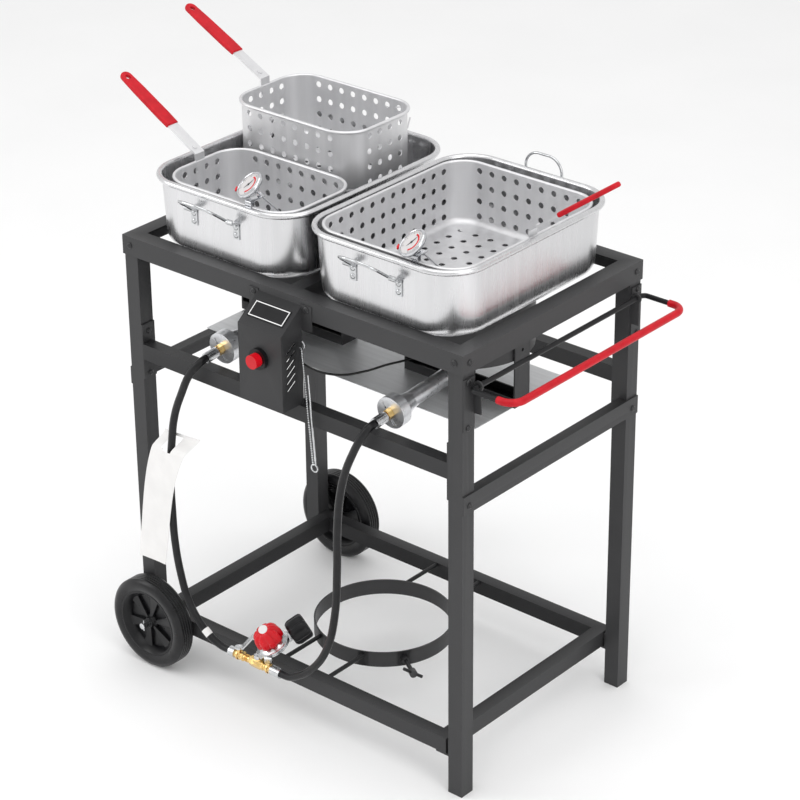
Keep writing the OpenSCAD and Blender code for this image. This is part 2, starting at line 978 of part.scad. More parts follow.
module valve_lever_right()
    color(steel) place()
        lever(valve_x[1], -49);

// Local frame of the regulator: z is the knob's axis, x points to the tank nut
module at_regulator()
    translate(reg_at)
        rotate([0, reg_tilt, reg_turn])
            children();

module regulator()
    color(chrome) place() {
        at_regulator() {
            translate([0, 0, -12])
                cylinder(d1 = 34, d2 = reg_d - 6, h = 10);
            translate([0, 0, -2])
                cylinder(d = reg_d, h = 7);
            translate([0, 0, 5])
                cylinder(d1 = reg_d - 6, d2 = 40, h = 6.6);
            rod([20, 0, -3], [tank_nut_x, 0, -3], 18);
            rod([-20, 0, -3], [-34, 0, -3], 18);
        }
        rod([connector_at[0], hose_y, hose_z + 10], [connector_at[0], hose_y, hose_z + 17], 14);
    }

module regulator_knob()
    color(red) place() at_regulator()
        translate([0, 0, knob_z])
            difference() {
                union() {
                    cylinder(d = knob_d, h = knob_h - 7, $fn = 64);
                    translate([0, 0, knob_h - 7])
                        cylinder(d1 = knob_d, d2 = knob_d - 14, h = 7, $fn = 64);
                }
                for (k = [0 : 8])
                    rotate(40 * k)
                        translate([knob_d / 2 + 3, 0, -1])
                            cylinder(d = 12, h = knob_h + 2);
            }

module tank_nut()
    color(rubber) place() at_regulator()
        difference() {
            rod([tank_nut_x + 0.3, 0, -3], [tank_nut_x + tank_nut_len, 0, -3], tank_nut_d);
            rod([tank_nut_x + 6, 0, -3], [tank_nut_x + tank_nut_len + 1, 0, -3], tank_nut_d - 12);
            for (k = [0 : 9])
                translate([tank_nut_x - 1, 0, -3])
                    rotate([36 * k, 0, 0])
                        translate([0, 0, tank_nut_d / 2 + 1.5])
                            rotate([0, 90, 0])
                                cylinder(d = 7, h = 36);
        }

// Half section of a pressed wall: flat bottom, bottom radius, upright wall and rolled bead
module wall_section(r, rb, h, t, bead) {
    square([r - rb, t]);
    translate([r - rb, rb])
        intersection() {
            difference() {
                circle(r = rb);
                circle(r = rb - t);
            }
            translate([0, -rb])
                square(rb);
        }
    translate([r - t, rb])
        square([t, h - rb - bead]);
    translate([r - t + bead, h - bead])
        circle(r = bead);
}

// An open tray with rounded corners; w and d are the walls' outside sizes
module tray(w, d, h, r, rb, t, bead) {
    block(w - 2 * r, d - 2 * r, t);
    for (q = [[1, 1, 0], [-1, 1, 90], [-1, -1, 180], [1, -1, 270]])
        translate([q[0] * (w / 2 - r), q[1] * (d / 2 - r), 0])
            rotate(q[2])
                rotate_extrude(angle = 90)
                    wall_section(r, rb, h, t, bead);
    for (side = [0, 1]) {
        rotate(180 * side)
            translate([w / 2 - r, d / 2 - r, 0])
                rotate([90, 0, 0])
                    linear_extrude(d - 2 * r)
                        wall_section(r, rb, h, t, bead);
        rotate(90 + 180 * side)
            translate([d / 2 - r, w / 2 - r, 0])
                rotate([90, 0, 0])
                    linear_extrude(w - 2 * r)
                        wall_section(r, rb, h, t, bead);
    }
}

module pan(x)
    color(silver) place()
        translate([x, 0, pan_z])
            tray(pan_w, 2 * pan_half_d, pan_h, pan_round, pan_bottom_round, pan_t, bead_r);

module pan_left()
    pan(pan_left_x);

module pan_right()
    pan(pan_right_x);

// One riveted lug with the barrel that holds a bail's end
module lug()
    difference() {
        union() {
            translate([barrel_x + barrel_len / 2 - lug_w / 2, pan_half_d, bail_z - 36])
                cube([lug_w, lug_t, 36]);
            translate([barrel_x, pan_half_d, bail_z - barrel_d / 2])
                cube([barrel_len, bail_y - pan_half_d, barrel_d]);
            rod([barrel_x, bail_y, bail_z], [barrel_x + barrel_len, bail_y, bail_z], barrel_d);
            for (z = [9, 28])
                rod([barrel_x + barrel_len / 2, pan_half_d + 1, bail_z - z],
                    [barrel_x + barrel_len / 2, pan_half_d + 3.5, bail_z - z], 8);
        }
        rod([barrel_x - 1, bail_y, bail_z],
            [barrel_x + barrel_len + 1, bail_y, bail_z], bail_rod + 2 * fit_gap);
    }

module lugs(x)
    color(silver) place()
        translate([x, 0, 0])
            quarters()
                lug();

module bail_brackets_left()
    lugs(pan_left_x);

module bail_brackets_right()
    lugs(pan_right_x);

// A wire bail turned up by an angle; end is -1 at the front and 1 at the back
module bail(x, end, raise)
    color(steel) place()
        translate([x, end * bail_y, bail_z])
            rotate(90 - 90 * end)
                rotate([raise, 0, 0])
                    for (side = [0, 1])
                        mirror([side, 0, 0]) {
                            translate([bail_w / 2 + bail_turn, 0, 0])
                                rod([0, 0, 0], [bail_end, 0, 0], bail_rod);
                            translate([bail_w / 2 + bail_turn, bail_turn, 0])
                                rotate(180)
                                    bend(bail_turn, bail_rod);
                            rod([bail_w / 2, bail_turn, 0], [bail_w / 2, bail_arm - bail_round, 0], bail_rod);
                            translate([bail_w / 2 - bail_round, bail_arm - bail_round, 0])
                                bend(bail_round, bail_rod);
                            rod([0, bail_arm, 0], [bail_w / 2 - bail_round, bail_arm, 0], bail_rod);
                        }

module bail_left_front()
    bail(pan_left_x, -1, bail_raise);

module bail_left_back()
    bail(pan_left_x, 1, 90);

module bail_right_front()
    bail(pan_right_x, -1, bail_raise);

module bail_right_back()
    bail(pan_right_x, 1, 90);

// Rows of round holes along one pair of walls
module hole_rows(count, pitch, reach)
    for (k = [0 : count - 1], row = [0 : row_count - 1])
        translate([(k - (count - 1) / 2) * pitch, reach, first_hole_z + row * row_pitch])
            rotate([90, 0, 0])
                cylinder(d = hole_d, h = 2 * reach);

// columns, rows and floor_holes are how many holes there are along x, along y and in the floor
module basket_shell(w, d, columns, rows, pitch, floor_holes) {
    difference() {
        tray(w - 2 * wall_in, d - 2 * wall_in, basket_h, basket_round,
            basket_bottom_round, basket_t, basket_bead);
        hole_rows(columns, pitch, d);
        rotate(90)
            hole_rows(rows, pitch, w);
        for (i = [0 : floor_holes.x - 1], j = [0 : floor_holes.y - 1])
            translate([(i - (floor_holes.x - 1) / 2) * floor_pitch,
                (j - (floor_holes.y - 1) / 2) * floor_pitch, -1])
                cylinder(d = hole_d, h = 4);
    }
    quarters()
        translate([w / 2 - 46, d / 2 - 44, -foot_h])
            cylinder(d = 12, h = foot_h + 1);
}

// Centre line of a basket handle's strap, from its foot on the wall to the end of its tang
function strap_line(tilt) = [
    [strap_t / 2 - wall_in, -40],
    [strap_t / 2 - wall_in, strap_rise],
    [strap_t / 2 - wall_in + tang_len * cos(tilt), strap_rise + tang_len * sin(tilt)]];

module along_tang(tilt)
    translate([strap_t / 2 - wall_in, 0, strap_rise])
        rotate([0, -tilt, 0])
            children();

module strap(tilt) {
    band(strap_line(tilt), strap_t, strap_w);
    for (z = [-33, -21])
        rod([strap_t - 1 - wall_in, 0, z], [strap_t + 2 - wall_in, 0, z], 8);
    along_tang(tilt)
        rod([14, 0, 0], [14, 0, strap_t / 2 + 2], 9);
}

module grip(tilt)
    difference() {
        along_tang(tilt)
            translate([grip_start, 0, -grip_t / 2])
                linear_extrude(grip_t)
                    difference() {
                        union() {
                            translate([0, -grip_w / 2])
                                square([grip_len - grip_w / 2, grip_w]);
                            translate([grip_len - grip_w / 2, 0])
                                circle(d = grip_w);
                        }
                        translate([grip_len - grip_w / 2, 0])
                            circle(d = hang_hole_d);
                    }
        band(strap_line(tilt), strap_t, strap_w);
    }

// A round wire with ball ends
module link(a, b, d) {
    rod(a, b, d);
    for (p = [a, b])
        translate(p)
            sphere(d = d);
}

module on_rim(x, y, lift, turn, w)
    translate([x, y, basket_z + basket_h + lift])
        rotate(turn)
            translate([w / 2, 0, 0])
                children();

module basket(x, y, lift, w, d, turn, tilt, columns, rows, pitch, floor_holes)
    color(silver) place() {
        translate([x, y, basket_z + lift])
            basket_shell(w, d, columns, rows, pitch, floor_holes);
        on_rim(x, y, lift, turn, w)
            strap(tilt);
    }

module basket_front()
    basket(front_basket_x, front_basket_y, 0, half_basket_w, half_basket_d, 180, front_tilt, 8, 4, 27, [7, 4]);

module basket_back() {
    basket(back_basket_x, back_basket_y, drain_lift, half_basket_w, half_basket_d, 180, back_tilt,
        8, 4, 27, [7, 4]);
    color(silver) place()
        translate([hook_x, back_basket_y + half_basket_d / 2 - wall_in, basket_z + basket_h + drain_lift]) {
            for (x = [-7, 7], k = [0 : 2])
                link([x, hook_line[k].x, hook_line[k].y], [x, hook_line[k + 1].x, hook_line[k + 1].y], hook_d);
            link([-7, hook_line[3].x, hook_line[3].y], [7, hook_line[3].x, hook_line[3].y], hook_d);
        }
}

module basket_full()
    basket(full_basket_x, full_basket_y, 0, full_basket_w, full_basket_d, 0, full_tilt, 9, 12, 27, [8, 10]);

module grip_front()
    color(red) place()
        on_rim(front_basket_x, front_basket_y, 0, 180, half_basket_w)
            grip(front_tilt);

module grip_back()
    color(red) place()
        on_rim(back_basket_x, back_basket_y, drain_lift, 180, half_basket_w)
            grip(back_tilt);

module grip_full()
    color(red) place()
        on_rim(full_basket_x, full_basket_y, 0, 0, full_basket_w)
            grip(full_tilt);

// A clip-on dial thermometer; the probe runs down and back from the dial
module thermometer(c)
    translate(c)
        rotate([0, dial_tilt, dial_turn]) {
            translate([0, 0, -dial_t])
                cylinder(d = dial_d, h = dial_t);
            translate([0, 0, -dial_t - 8])
                cylinder(d = 10, h = 8.5);
            translate([0, 0, -probe_len])
                cylinder(d = probe_d, h = probe_len - dial_t);
        }

// The spring clip: a plate from the probe to the basket's rim, with a prong on each side of the rim
module rim_clip(c, rim_y) {
    reach = c[1] - (c[2] - clip_z) * tan(dial_tilt) * sin(dial_turn) + 4;
    front_y = rim_y - 0.4 - clip_t;
    translate([c[0] + 4, front_y, clip_z])
        cube([clip_w, reach - front_y, clip_t]);
    for (y = [front_y, front_y + clip_reach])
        translate([c[0] + 4, y, clip_z - 18])
            cube([clip_w, clip_t, 19]);
}

module thermometer_left()
    color(steel) place() {
        thermometer(left_dial);
        rim_clip(left_dial, front_basket_y - half_basket_d / 2);
    }

module thermometer_right()
    color(steel) place() {
        thermometer(right_dial);
        rim_clip(right_dial, full_basket_y - full_basket_d / 2);
    }

top_frame();
legs_left();
legs_right();
mid_rail_front();
mid_rail_back();
side_rails();
shelf_frame();
shelf_brackets();
tank_ring();
tank_screw();
frame_bolts();
axle();
tyre_front();
tyre_back();
hub_front();
hub_back();
handle_brackets();
side_handle();
handle_grip();
heat_shield();
wind_guards();
burner_brackets();
burners();
mixing_tubes();
shutter_left();
shutter_right();
gas_orifices();
control_panel();
badge_plate();
igniter_collar();
igniter_button();
igniter_lead();
igniter_electrode();
match_chain();
hose_left();
hose_right();
hose_ferrules();
hang_tag();
gas_manifold();
valve_lever_left();
valve_lever_right();
regulator();
regulator_knob();
tank_nut();
pan_left();
pan_right();
bail_brackets_left();
bail_brackets_right();
bail_left_front();
bail_left_back();
bail_right_front();
bail_right_back();
basket_front();
basket_back();
basket_full();
grip_front();
grip_back();
grip_full();
thermometer_left();
thermometer_right();
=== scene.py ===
import json
import math

import bpy
from mathutils import Matrix, Vector


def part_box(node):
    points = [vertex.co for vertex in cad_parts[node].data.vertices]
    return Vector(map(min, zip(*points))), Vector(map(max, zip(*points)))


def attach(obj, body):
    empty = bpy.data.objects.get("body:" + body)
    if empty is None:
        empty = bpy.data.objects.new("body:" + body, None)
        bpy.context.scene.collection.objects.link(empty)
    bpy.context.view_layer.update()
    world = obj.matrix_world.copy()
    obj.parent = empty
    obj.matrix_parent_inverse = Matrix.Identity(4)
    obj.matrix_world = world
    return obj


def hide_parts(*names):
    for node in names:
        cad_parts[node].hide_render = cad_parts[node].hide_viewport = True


# Vectors are in metres in the CAD's own frame; the sizes written below are in millimetres unless their
# comment says otherwise.
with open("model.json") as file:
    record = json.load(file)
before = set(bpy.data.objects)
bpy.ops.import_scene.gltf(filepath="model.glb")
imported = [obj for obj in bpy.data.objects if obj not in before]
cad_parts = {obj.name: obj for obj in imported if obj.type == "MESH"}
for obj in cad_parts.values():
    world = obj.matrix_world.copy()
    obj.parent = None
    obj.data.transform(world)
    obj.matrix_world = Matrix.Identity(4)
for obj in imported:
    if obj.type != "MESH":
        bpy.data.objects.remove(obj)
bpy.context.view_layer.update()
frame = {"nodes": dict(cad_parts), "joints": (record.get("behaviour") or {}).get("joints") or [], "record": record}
bpy.context.scene.view_settings.view_transform = "Standard"
NODES = frame["nodes"]
JOINTS = {j["name"]: j for j in frame["joints"]}
BODY_OF = {n: b for b, ns in frame["record"]["behaviour"]["bodies"].items() for n in ns}
SLOT_OF = {s["node"]: s["material_slot"] for s in frame["record"]["subparts"]}
MM = 0.001
low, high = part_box("top_frame")
MIDDLE = Vector(((low.x + high.x) / 2, (low.y + high.y) / 2, 0))
X, Y, Z = Vector((1, 0, 0)), Vector((0, 1, 0)), Vector((0, 0, 1))


def at(x, y, z):
    """A point given in millimetres from the floor under the middle of the top frame."""
    return MIDDLE + Vector((x, y, z)) * MM


# ---------------------------------------------------------------- camera
# The photo's viewpoint. The columns of CAMERA_AXES are the camera's right, up and backward directions.
CAMERA_AT = at(2891.6, -3333.4, 2804.1)
CAMERA_AXES = Matrix(((0.76289, -0.28833, 0.57867),
                      (0.64647, 0.35141, -0.67719),
                      (-0.00809, 0.89072, 0.45448)))
SENSOR_W = 36
FOCAL_LENGTH = 125.7
camera = bpy.data.objects.new("camera", bpy.data.cameras.new("camera"))
bpy.context.scene.collection.objects.link(camera)
camera.data.sensor_width = SENSOR_W
camera.data.lens = FOCAL_LENGTH
camera.data.clip_end = 60
camera.matrix_world = Matrix.Translation(CAMERA_AT) @ CAMERA_AXES.to_4x4()
bpy.context.scene.camera = camera


# ---------------------------------------------------------------- materials
COAT_ROUGHNESS = 0.12
PATCH_LOW, PATCH_HIGH = 0.32, 0.68    # noise values at which a colour is at its darkest and lightest
WEAR_AND_HIGHLIGHT_LOW, WEAR_AND_HIGHLIGHT_HIGH = 0.52, 0.62      # pointiness at which an edge starts to go pale and is fully pale, from wear and a painted highlight
WEAR_AND_HIGHLIGHT_GAIN, WEAR_AND_HIGHLIGHT_LIFT = 3, 0.12        # a pale edge's colour, worn and with a painted highlight, is the piece's own, times this, plus this
BUMP_DEPTH = 0.0008                   # metres


def new_material(name, color, metallic, roughness, spread=0.12, grain=(40, 40, 40), rough_spread=0.1,
                 bump=0.05, bump_scale=600, edge_wear_and_highlight=0.0, coat=0.0, mirror=0.5):
    """A Principled material whose colour, gloss and height vary with noise along the object's own axes."""
    mat = bpy.data.materials.new(name)
    mat.use_nodes = True
    tree = mat.node_tree
    shader = tree.nodes["Principled BSDF"]
    add, link = tree.nodes.new, tree.links.new
    shader.inputs["Metallic"].default_value = metallic
    shader.inputs["Coat Weight"].default_value = coat
    shader.inputs["Coat Roughness"].default_value = COAT_ROUGHNESS
    shader.inputs["Specular IOR Level"].default_value = mirror
    where = add("ShaderNodeTexCoord")
    stretch = add("ShaderNodeMapping")
    stretch.inputs["Scale"].default_value = grain
    link(where.outputs["Object"], stretch.inputs["Vector"])
    patches = add("ShaderNodeTexNoise")
    patches.inputs["Scale"].default_value = 1.0
    patches.inputs["Detail"].default_value = 6
    link(stretch.outputs["Vector"], patches.inputs["Vector"])
    ramp = add("ShaderNodeValToRGB")
    dark = [c * (1 - spread) for c in color]
    light = [min(1, c * (1 + spread) + 0.02 * spread) for c in color]
    ramp.color_ramp.elements[0].color = (*dark, 1)
    ramp.color_ramp.elements[0].position = PATCH_LOW
    ramp.color_ramp.elements[1].color = (*light, 1)
    ramp.color_ramp.elements[1].position = PATCH_HIGH
    link(patches.outputs["Fac"], ramp.inputs["Fac"])
    tint = ramp.outputs["Color"]
    # Convex edges, found by pointiness, are painted paler: partly wear, partly a painted highlight for the light
    # that edges catch.
    if edge_wear_and_highlight:
        geometry = add("ShaderNodeNewGeometry")
        edge = add("ShaderNodeMapRange")
        edge.inputs["From Min"].default_value = WEAR_AND_HIGHLIGHT_LOW
        edge.inputs["From Max"].default_value = WEAR_AND_HIGHLIGHT_HIGH
        edge.inputs["To Max"].default_value = edge_wear_and_highlight
        link(geometry.outputs["Pointiness"], edge.inputs["Value"])
        worn_and_lit_edge = add("ShaderNodeMix")
        worn_and_lit_edge.data_type = "RGBA"
        worn_and_lit_edge.inputs["B"].default_value = (*[min(1, c * WEAR_AND_HIGHLIGHT_GAIN + WEAR_AND_HIGHLIGHT_LIFT) for c in color], 1)
        link(edge.outputs["Result"], worn_and_lit_edge.inputs["Factor"])
        link(tint, worn_and_lit_edge.inputs["A"])
        tint = worn_and_lit_edge.outputs["Result"]
    link(tint, shader.inputs["Base Color"])
    gloss = add("ShaderNodeMapRange")
    gloss.inputs["To Min"].default_value = max(0.03, roughness - rough_spread)
    gloss.inputs["To Max"].default_value = min(1, roughness + rough_spread)
    link(patches.outputs["Fac"], gloss.inputs["Value"])
    link(gloss.outputs["Result"], shader.inputs["Roughness"])
    fine = add("ShaderNodeTexNoise")
    fine.inputs["Scale"].default_value = bump_scale
    fine.inputs["Detail"].default_value = 3
    link(where.outputs["Object"], fine.inputs["Vector"])
    height = add("ShaderNodeBump")
    height.inputs["Strength"].default_value = bump
    height.inputs["Distance"].default_value = BUMP_DEPTH
    link(fine.outputs["Fac"], height.inputs["Height"])
    link(height.outputs["Normal"], shader.inputs["Normal"])
    return mat


# spread is how much a colour varies, grain the noise's cells per metre along x, y and z, rough_spread how
# much the roughness varies, bump_scale the fine noise's cells per metre and edge_wear_and_highlight how far
# edges go pale, partly as wear and partly as a painted highlight.
LOOKS = {
    "black_paint": dict(
        color=(0.01, 0.01, 0.011), metallic=0, roughness=0.42, spread=0.12,
        grain=(18, 18, 18), rough_spread=0.06, bump=0.22, bump_scale=1500, edge_wear_and_highlight=0.25, mirror=0.24),
    "zinc_steel": dict(
        color=(0.62, 0.63, 0.64), metallic=1, roughness=0.24, spread=0.16,
        grain=(120, 120, 120), rough_spread=0.1, bump=0.08, bump_scale=900),
    "black_zinc": dict(
        color=(0.012, 0.012, 0.013), metallic=0.3, roughness=0.32, spread=0.2,
        grain=(150, 150, 150), rough_spread=0.08, bump=0.05, bump_scale=900, edge_wear_and_highlight=0.4, mirror=0.4),
    "tyre_rubber": dict(
        color=(0.006, 0.006, 0.007), metallic=0, roughness=0.3, spread=0.25,
        grain=(60, 60, 60), rough_spread=0.08, bump=0.12, bump_scale=1100, mirror=0.34),
    "black_plastic": dict(
        color=(0.005, 0.005, 0.006), metallic=0, roughness=0.3, spread=0.15,
        grain=(50, 50, 50), rough_spread=0.06, bump=0.08, bump_scale=1400, mirror=0.28),
    "red_grip": dict(
        color=(0.5, 0.003, 0.012), metallic=0, roughness=0.42, spread=0.12,
        grain=(60, 60, 60), rough_spread=0.07, bump=0.12, bump_scale=700, mirror=0.25),
    "bright_steel": dict(
        color=(0.74, 0.75, 0.77), metallic=0.8, roughness=0.3, spread=0.08,
        grain=(30, 160, 160), rough_spread=0.08, bump=0.03, bump_scale=500),
    "rolled_sheet": dict(
        color=(0.74, 0.75, 0.76), metallic=0.55, roughness=0.42, spread=0.07,
        grain=(8, 120, 120), rough_spread=0.08, bump=0.03, bump_scale=400),
    "cast_iron": dict(
        color=(0.014, 0.014, 0.015), metallic=0, roughness=0.72, spread=0.3,
        grain=(120, 120, 120), rough_spread=0.12, bump=0.9, bump_scale=420, mirror=0.3),
    "brass": dict(
        color=(0.86, 0.6, 0.24), metallic=1, roughness=0.2, spread=0.12,
        grain=(160, 160, 160), rough_spread=0.08, bump=0.06, bump_scale=900),
    "badge_black": dict(
        color=(0.006, 0.006, 0.007), metallic=0, roughness=0.3, spread=0.1,
        grain=(40, 40, 40), rough_spread=0.05, bump=0.04, bump_scale=900, mirror=0.3),
    "badge_white": dict(
        color=(0.85, 0.85, 0.85), metallic=0, roughness=0.4, spread=0.03,
        grain=(40, 40, 40), rough_spread=0.05, bump=0.04, bump_scale=900),
    "red_plastic": dict(
        color=(0.62, 0.002, 0.01), metallic=0, roughness=0.26, spread=0.08,
        grain=(60, 60, 60), rough_spread=0.06, bump=0.06, bump_scale=900, mirror=0.35),
    "lead_rubber": dict(
        color=(0.008, 0.008, 0.008), metallic=0, roughness=0.5, spread=0.2,
        grain=(90, 90, 90), rough_spread=0.08, bump=0.1, bump_scale=1200, mirror=0.35),
    "ceramic": dict(
        color=(0.8, 0.79, 0.75), metallic=0, roughness=0.22, spread=0.06,
        grain=(90, 90, 90), rough_spread=0.06, bump=0.05, bump_scale=700, coat=0.4),
    "hose_rubber": dict(
        color=(0.006, 0.006, 0.007), metallic=0, roughness=0.32, spread=0.2,
        grain=(70, 70, 70), rough_spread=0.08, bump=0.25, bump_scale=1300, mirror=0.3),
    "white_card": dict(
        color=(0.82, 0.81, 0.8), metallic=0, roughness=0.55, spread=0.03,
        grain=(30, 30, 30), rough_spread=0.05, bump=0.1, bump_scale=900),
    "aluminium_pan": dict(
        color=(0.68, 0.68, 0.69), metallic=1, roughness=0.27, spread=0.04,
        grain=(60, 60, 2), rough_spread=0.05, bump=0.012, bump_scale=160),
    "bright_wire": dict(
        color=(0.56, 0.57, 0.58), metallic=1, roughness=0.14, spread=0.1,
        grain=(160, 160, 160), rough_spread=0.06, bump=0.03, bump_scale=900),
    "aluminium_basket": dict(
        color=(0.72, 0.72, 0.73), metallic=0.78, roughness=0.42, spread=0.05,
        grain=(50, 50, 4), rough_spread=0.06, bump=0.03, bump_scale=320),
    "dial_chrome": dict(
        color=(0.62, 0.63, 0.65), metallic=1, roughness=0.14, spread=0.08,
        grain=(160, 160, 160), rough_spread=0.06, bump=0.03, bump_scale=900),
    "dial_white": dict(
        color=(0.6, 0.58, 0.58), metallic=0, roughness=0.35, spread=0.04,
        grain=(160, 160, 160), rough_spread=0.05, bump=0.03, bump_scale=900),
    "dial_black": dict(
        color=(0.02, 0.02, 0.02), metallic=0, roughness=0.35, spread=0.1,
        grain=(160, 160, 160), rough_spread=0.05, bump=0.03, bump_scale=900),
    "floor": dict(
        color=(0.95, 0.95, 0.95), metallic=0, roughness=0.8, spread=0.01,
        grain=(3, 3, 3), rough_spread=0.05, bump=0.0, bump_scale=50),
}
MATERIALS = {name: new_material(name, **look) for name, look in LOOKS.items()}


# ---------------------------------------------------------------- mesh helpers
def finish_piece(obj, slot, body, material=None, sharp=40):
    """Gives a new piece its material (its slot's, unless another is named), its shading and its body."""
    if obj.type == "MESH":
        obj.data.polygons.foreach_set("use_smooth", [True] * len(obj.data.polygons))
        obj.data.set_sharp_from_angle(angle=math.radians(sharp))
    obj.data.materials.append(MATERIALS[material or slot])
    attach(obj, body)
    return obj


def piece(name, parts, slot, body, material=None, sharp=40):
    """One mesh object from several (vertices, faces) parts."""
    verts, faces = [], []
    for part_verts, part_faces in parts:
        start = len(verts)
        verts += [tuple(v) for v in part_verts]
        faces += [tuple(i + start for i in f) for f in part_faces]
    mesh = bpy.data.meshes.new(name)
    mesh.from_pydata(verts, [], faces)
    mesh.validate()
    mesh.update()
    obj = bpy.data.objects.new(name, mesh)
    bpy.context.scene.collection.objects.link(obj)
    return finish_piece(obj, slot, body, material, sharp)


def loft(rings, wrap=False):
    """A skin over closed rings of points, all of one length; wrap joins the last ring to the first."""
    n = len(rings[0])
    verts = [p for r in rings for p in r]
    last = len(rings) if wrap else len(rings) - 1
    faces = []
    for i in range(last):
        a, b = i * n, ((i + 1) % len(rings)) * n
        faces += [(a + k, a + (k + 1) % n, b + (k + 1) % n, b + k) for k in range(n)]
    if not wrap:
        faces += [tuple(range(n - 1, -1, -1)), tuple((len(rings) - 1) * n + k for k in range(n))]
    return verts, faces


def axes(normal):
    """Right and up directions of the plane that faces along normal."""
    normal = normal.normalized()
    up = Y if abs(normal.dot(Z)) > 0.99 else Z
    v = (up - up.dot(normal) * normal).normalized()
    return v.cross(normal), v


def turned(centre, axis, profile, steps, lobes=0, depth=0.0):
    """A shape turned from a list of (radius, height) along axis; lobes scallop its rim by depth."""
    u, v = axes(axis)
    along = axis.normalized()
    rings = []
    for r, h in profile:
        ring = []
        for k in range(steps):
            t = 2 * math.pi * k / steps
            radius = r - depth * (0.5 - 0.5 * math.cos(lobes * t)) ** 2 if lobes else r
            out = u * math.cos(t) + v * math.sin(t)
            ring.append(centre + along * h * MM + out * radius * MM)
        rings.append(ring)
    return loft(rings)


def hoop(centre, axis, profile, steps):
    """A ring whose closed section is a list of (radius, height) along axis."""
    u, v = axes(axis)
    along = axis.normalized()
    rings = []
    for k in range(steps):
        t = 2 * math.pi * k / steps
        out = u * math.cos(t) + v * math.sin(t)
        rings.append([centre + out * r * MM + along * h * MM for r, h in profile])
    return loft(rings, wrap=True)


BAR_EDGE = 0.4          # the most that the end of a bar is rounded
BAR_EDGE_PART = 0.15    # the same as a part of a thin bar's diameter
TAPER_FROM = 0.94       # the part of its length at which a bar starts to narrow to its tip


def bar(a, b, d, steps, tip=None):
    """A round bar between two points; d is its diameter and tip that of its far end."""
    way = b - a
    length = way.length / MM
    r, end = d / 2, (tip if tip is not None else d) / 2
    edge = min(BAR_EDGE_PART * d, BAR_EDGE)
    profile = [(r - edge, 0), (r, edge), (r, length * TAPER_FROM), (end, length - edge),
               (max(end - edge, 0.1), length)]
    return turned(a, way, profile, steps)


MITRE_LIMIT = 0.5       # the smallest cosine that a bend's mitre is worked out with


def strip(path, across, thick):
    """Flat metal bent along a path of points; across lies along its width, and its length is the width."""
    side = across.normalized()
    rings = []
    for i, p in enumerate(path):
        before = (p - path[i - 1]).normalized() if i else (path[1] - p).normalized()
        after = (path[i + 1] - p).normalized() if i < len(path) - 1 else before
        along = (before + after).normalized()
        out = side.cross(along).normalized()
        grow = thick / 2 / max(MITRE_LIMIT, abs(along.dot(before)))
        w = across.length * MM / 2
        rings.append([p + side * w + out * grow * MM, p - side * w + out * grow * MM,
                      p - side * w - out * grow * MM, p + side * w - out * grow * MM])
    return loft(rings)


CORNER_STEPS = 14


def rounded(centre, half_x, half_y, radius, z):
    """A rounded rectangle of points; centre and z are in metres."""
    ring = []
    for q, (sx, sy) in enumerate(((1, 1), (-1, 1), (-1, -1), (1, -1))):
        for k in range(CORNER_STEPS + 1):
            t = math.radians(90 * q + 90 * k / CORNER_STEPS)
            ring.append(Vector((centre.x + (sx * (half_x - radius) + radius * math.cos(t)) * MM,
                                centre.y + (sy * (half_y - radius) + radius * math.sin(t)) * MM, z)))
    return ring


SOFT_ANGLE = 35         # degrees; sharper edges than this are rounded


def soften(obj, width):
    """Rounds the hard edges of a CAD part or a new piece."""
    bevel = obj.modifiers.new("soft_edges", "BEVEL")
    bevel.width = width * MM
    bevel.segments = 2
    bevel.limit_method = "ANGLE"
    bevel.angle_limit = math.radians(SOFT_ANGLE)
    bevel.harden_normals = True


# ---------------------------------------------------------------- cords
# Points along the middle of each cord, from its exit to its far end.
LEFT_ROUTE = [(-194, -241, 666.4), (-195, -254, 663), (-207, -263, 646), (-234, -266, 592), (-253, -266, 543),
              (-262, -266, 495), (-270, -266, 420), (-270, -266, 342), (-267, -266, 280), (-257, -266, 222),
              (-242, -265, 172), (-219, -264, 136), (-190, -263, 112), (-166, -262, 102), (-142, -262, 101)]
RIGHT_ROUTE = [(193, -241, 666.4), (192, -254, 663), (184, -263, 647), (164, -266, 607), (146, -266, 563),
               (134, -266, 512), (128, -266, 455), (125, -266, 367), (118, -266, 280), (97, -265, 202),
               (62, -264, 147), (22, -263, 113), (0, -262, 102), (-18, -262, 101)]
LEAD_ROUTE = [(-11, -258, 745), (-4, -246, 742), (18, -236, 728), (45, -222, 712), (75, -198, 703),
              (105, -165, 706), (126, -130, 712), (138, -100, 712), (145, -73, 712)]
HOSE_D = 14
LEAD_D = 4
BAND_FROM, BAND_TO = at(-204, -263.5, 122.4), at(-192.5, -263.1, 113.6)
BAND_OVER = 1.2         # how much wider the left hose's white band is than the hose


def cord_curve(name, route, diameter, slot):
    """A round cord as a smooth curve through its route."""
    curve = bpy.data.curves.new(name, "CURVE")
    curve.dimensions = "3D"
    curve.bevel_depth = diameter / 2 * MM
    curve.bevel_resolution = 6
    curve.resolution_u = 8
    curve.use_fill_caps = True
    spline = curve.splines.new("BEZIER")
    spline.bezier_points.add(len(route) - 1)
    for point, place in zip(spline.bezier_points, route):
        point.co = at(*place)
        point.handle_left_type = point.handle_right_type = "AUTO"
    obj = bpy.data.objects.new(name, curve)
    bpy.context.scene.collection.objects.link(obj)
    return finish_piece(obj, slot, "stand")


hose_left = cord_curve("hose_left_rubber", LEFT_ROUTE, HOSE_D, "hose_rubber")
hose_right = cord_curve("hose_right_rubber", RIGHT_ROUTE, HOSE_D, "hose_rubber")
lead = cord_curve("igniter_lead_wire", LEAD_ROUTE, LEAD_D, "lead_rubber")
hose_band = piece("hose_band", [bar(BAND_FROM, BAND_TO, HOSE_D + BAND_OVER, 32)], "white_card", "stand")
for obj, node in ((hose_left, "hose_left"), (hose_right, "hose_right"), (lead, "igniter_lead")):
    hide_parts(node)

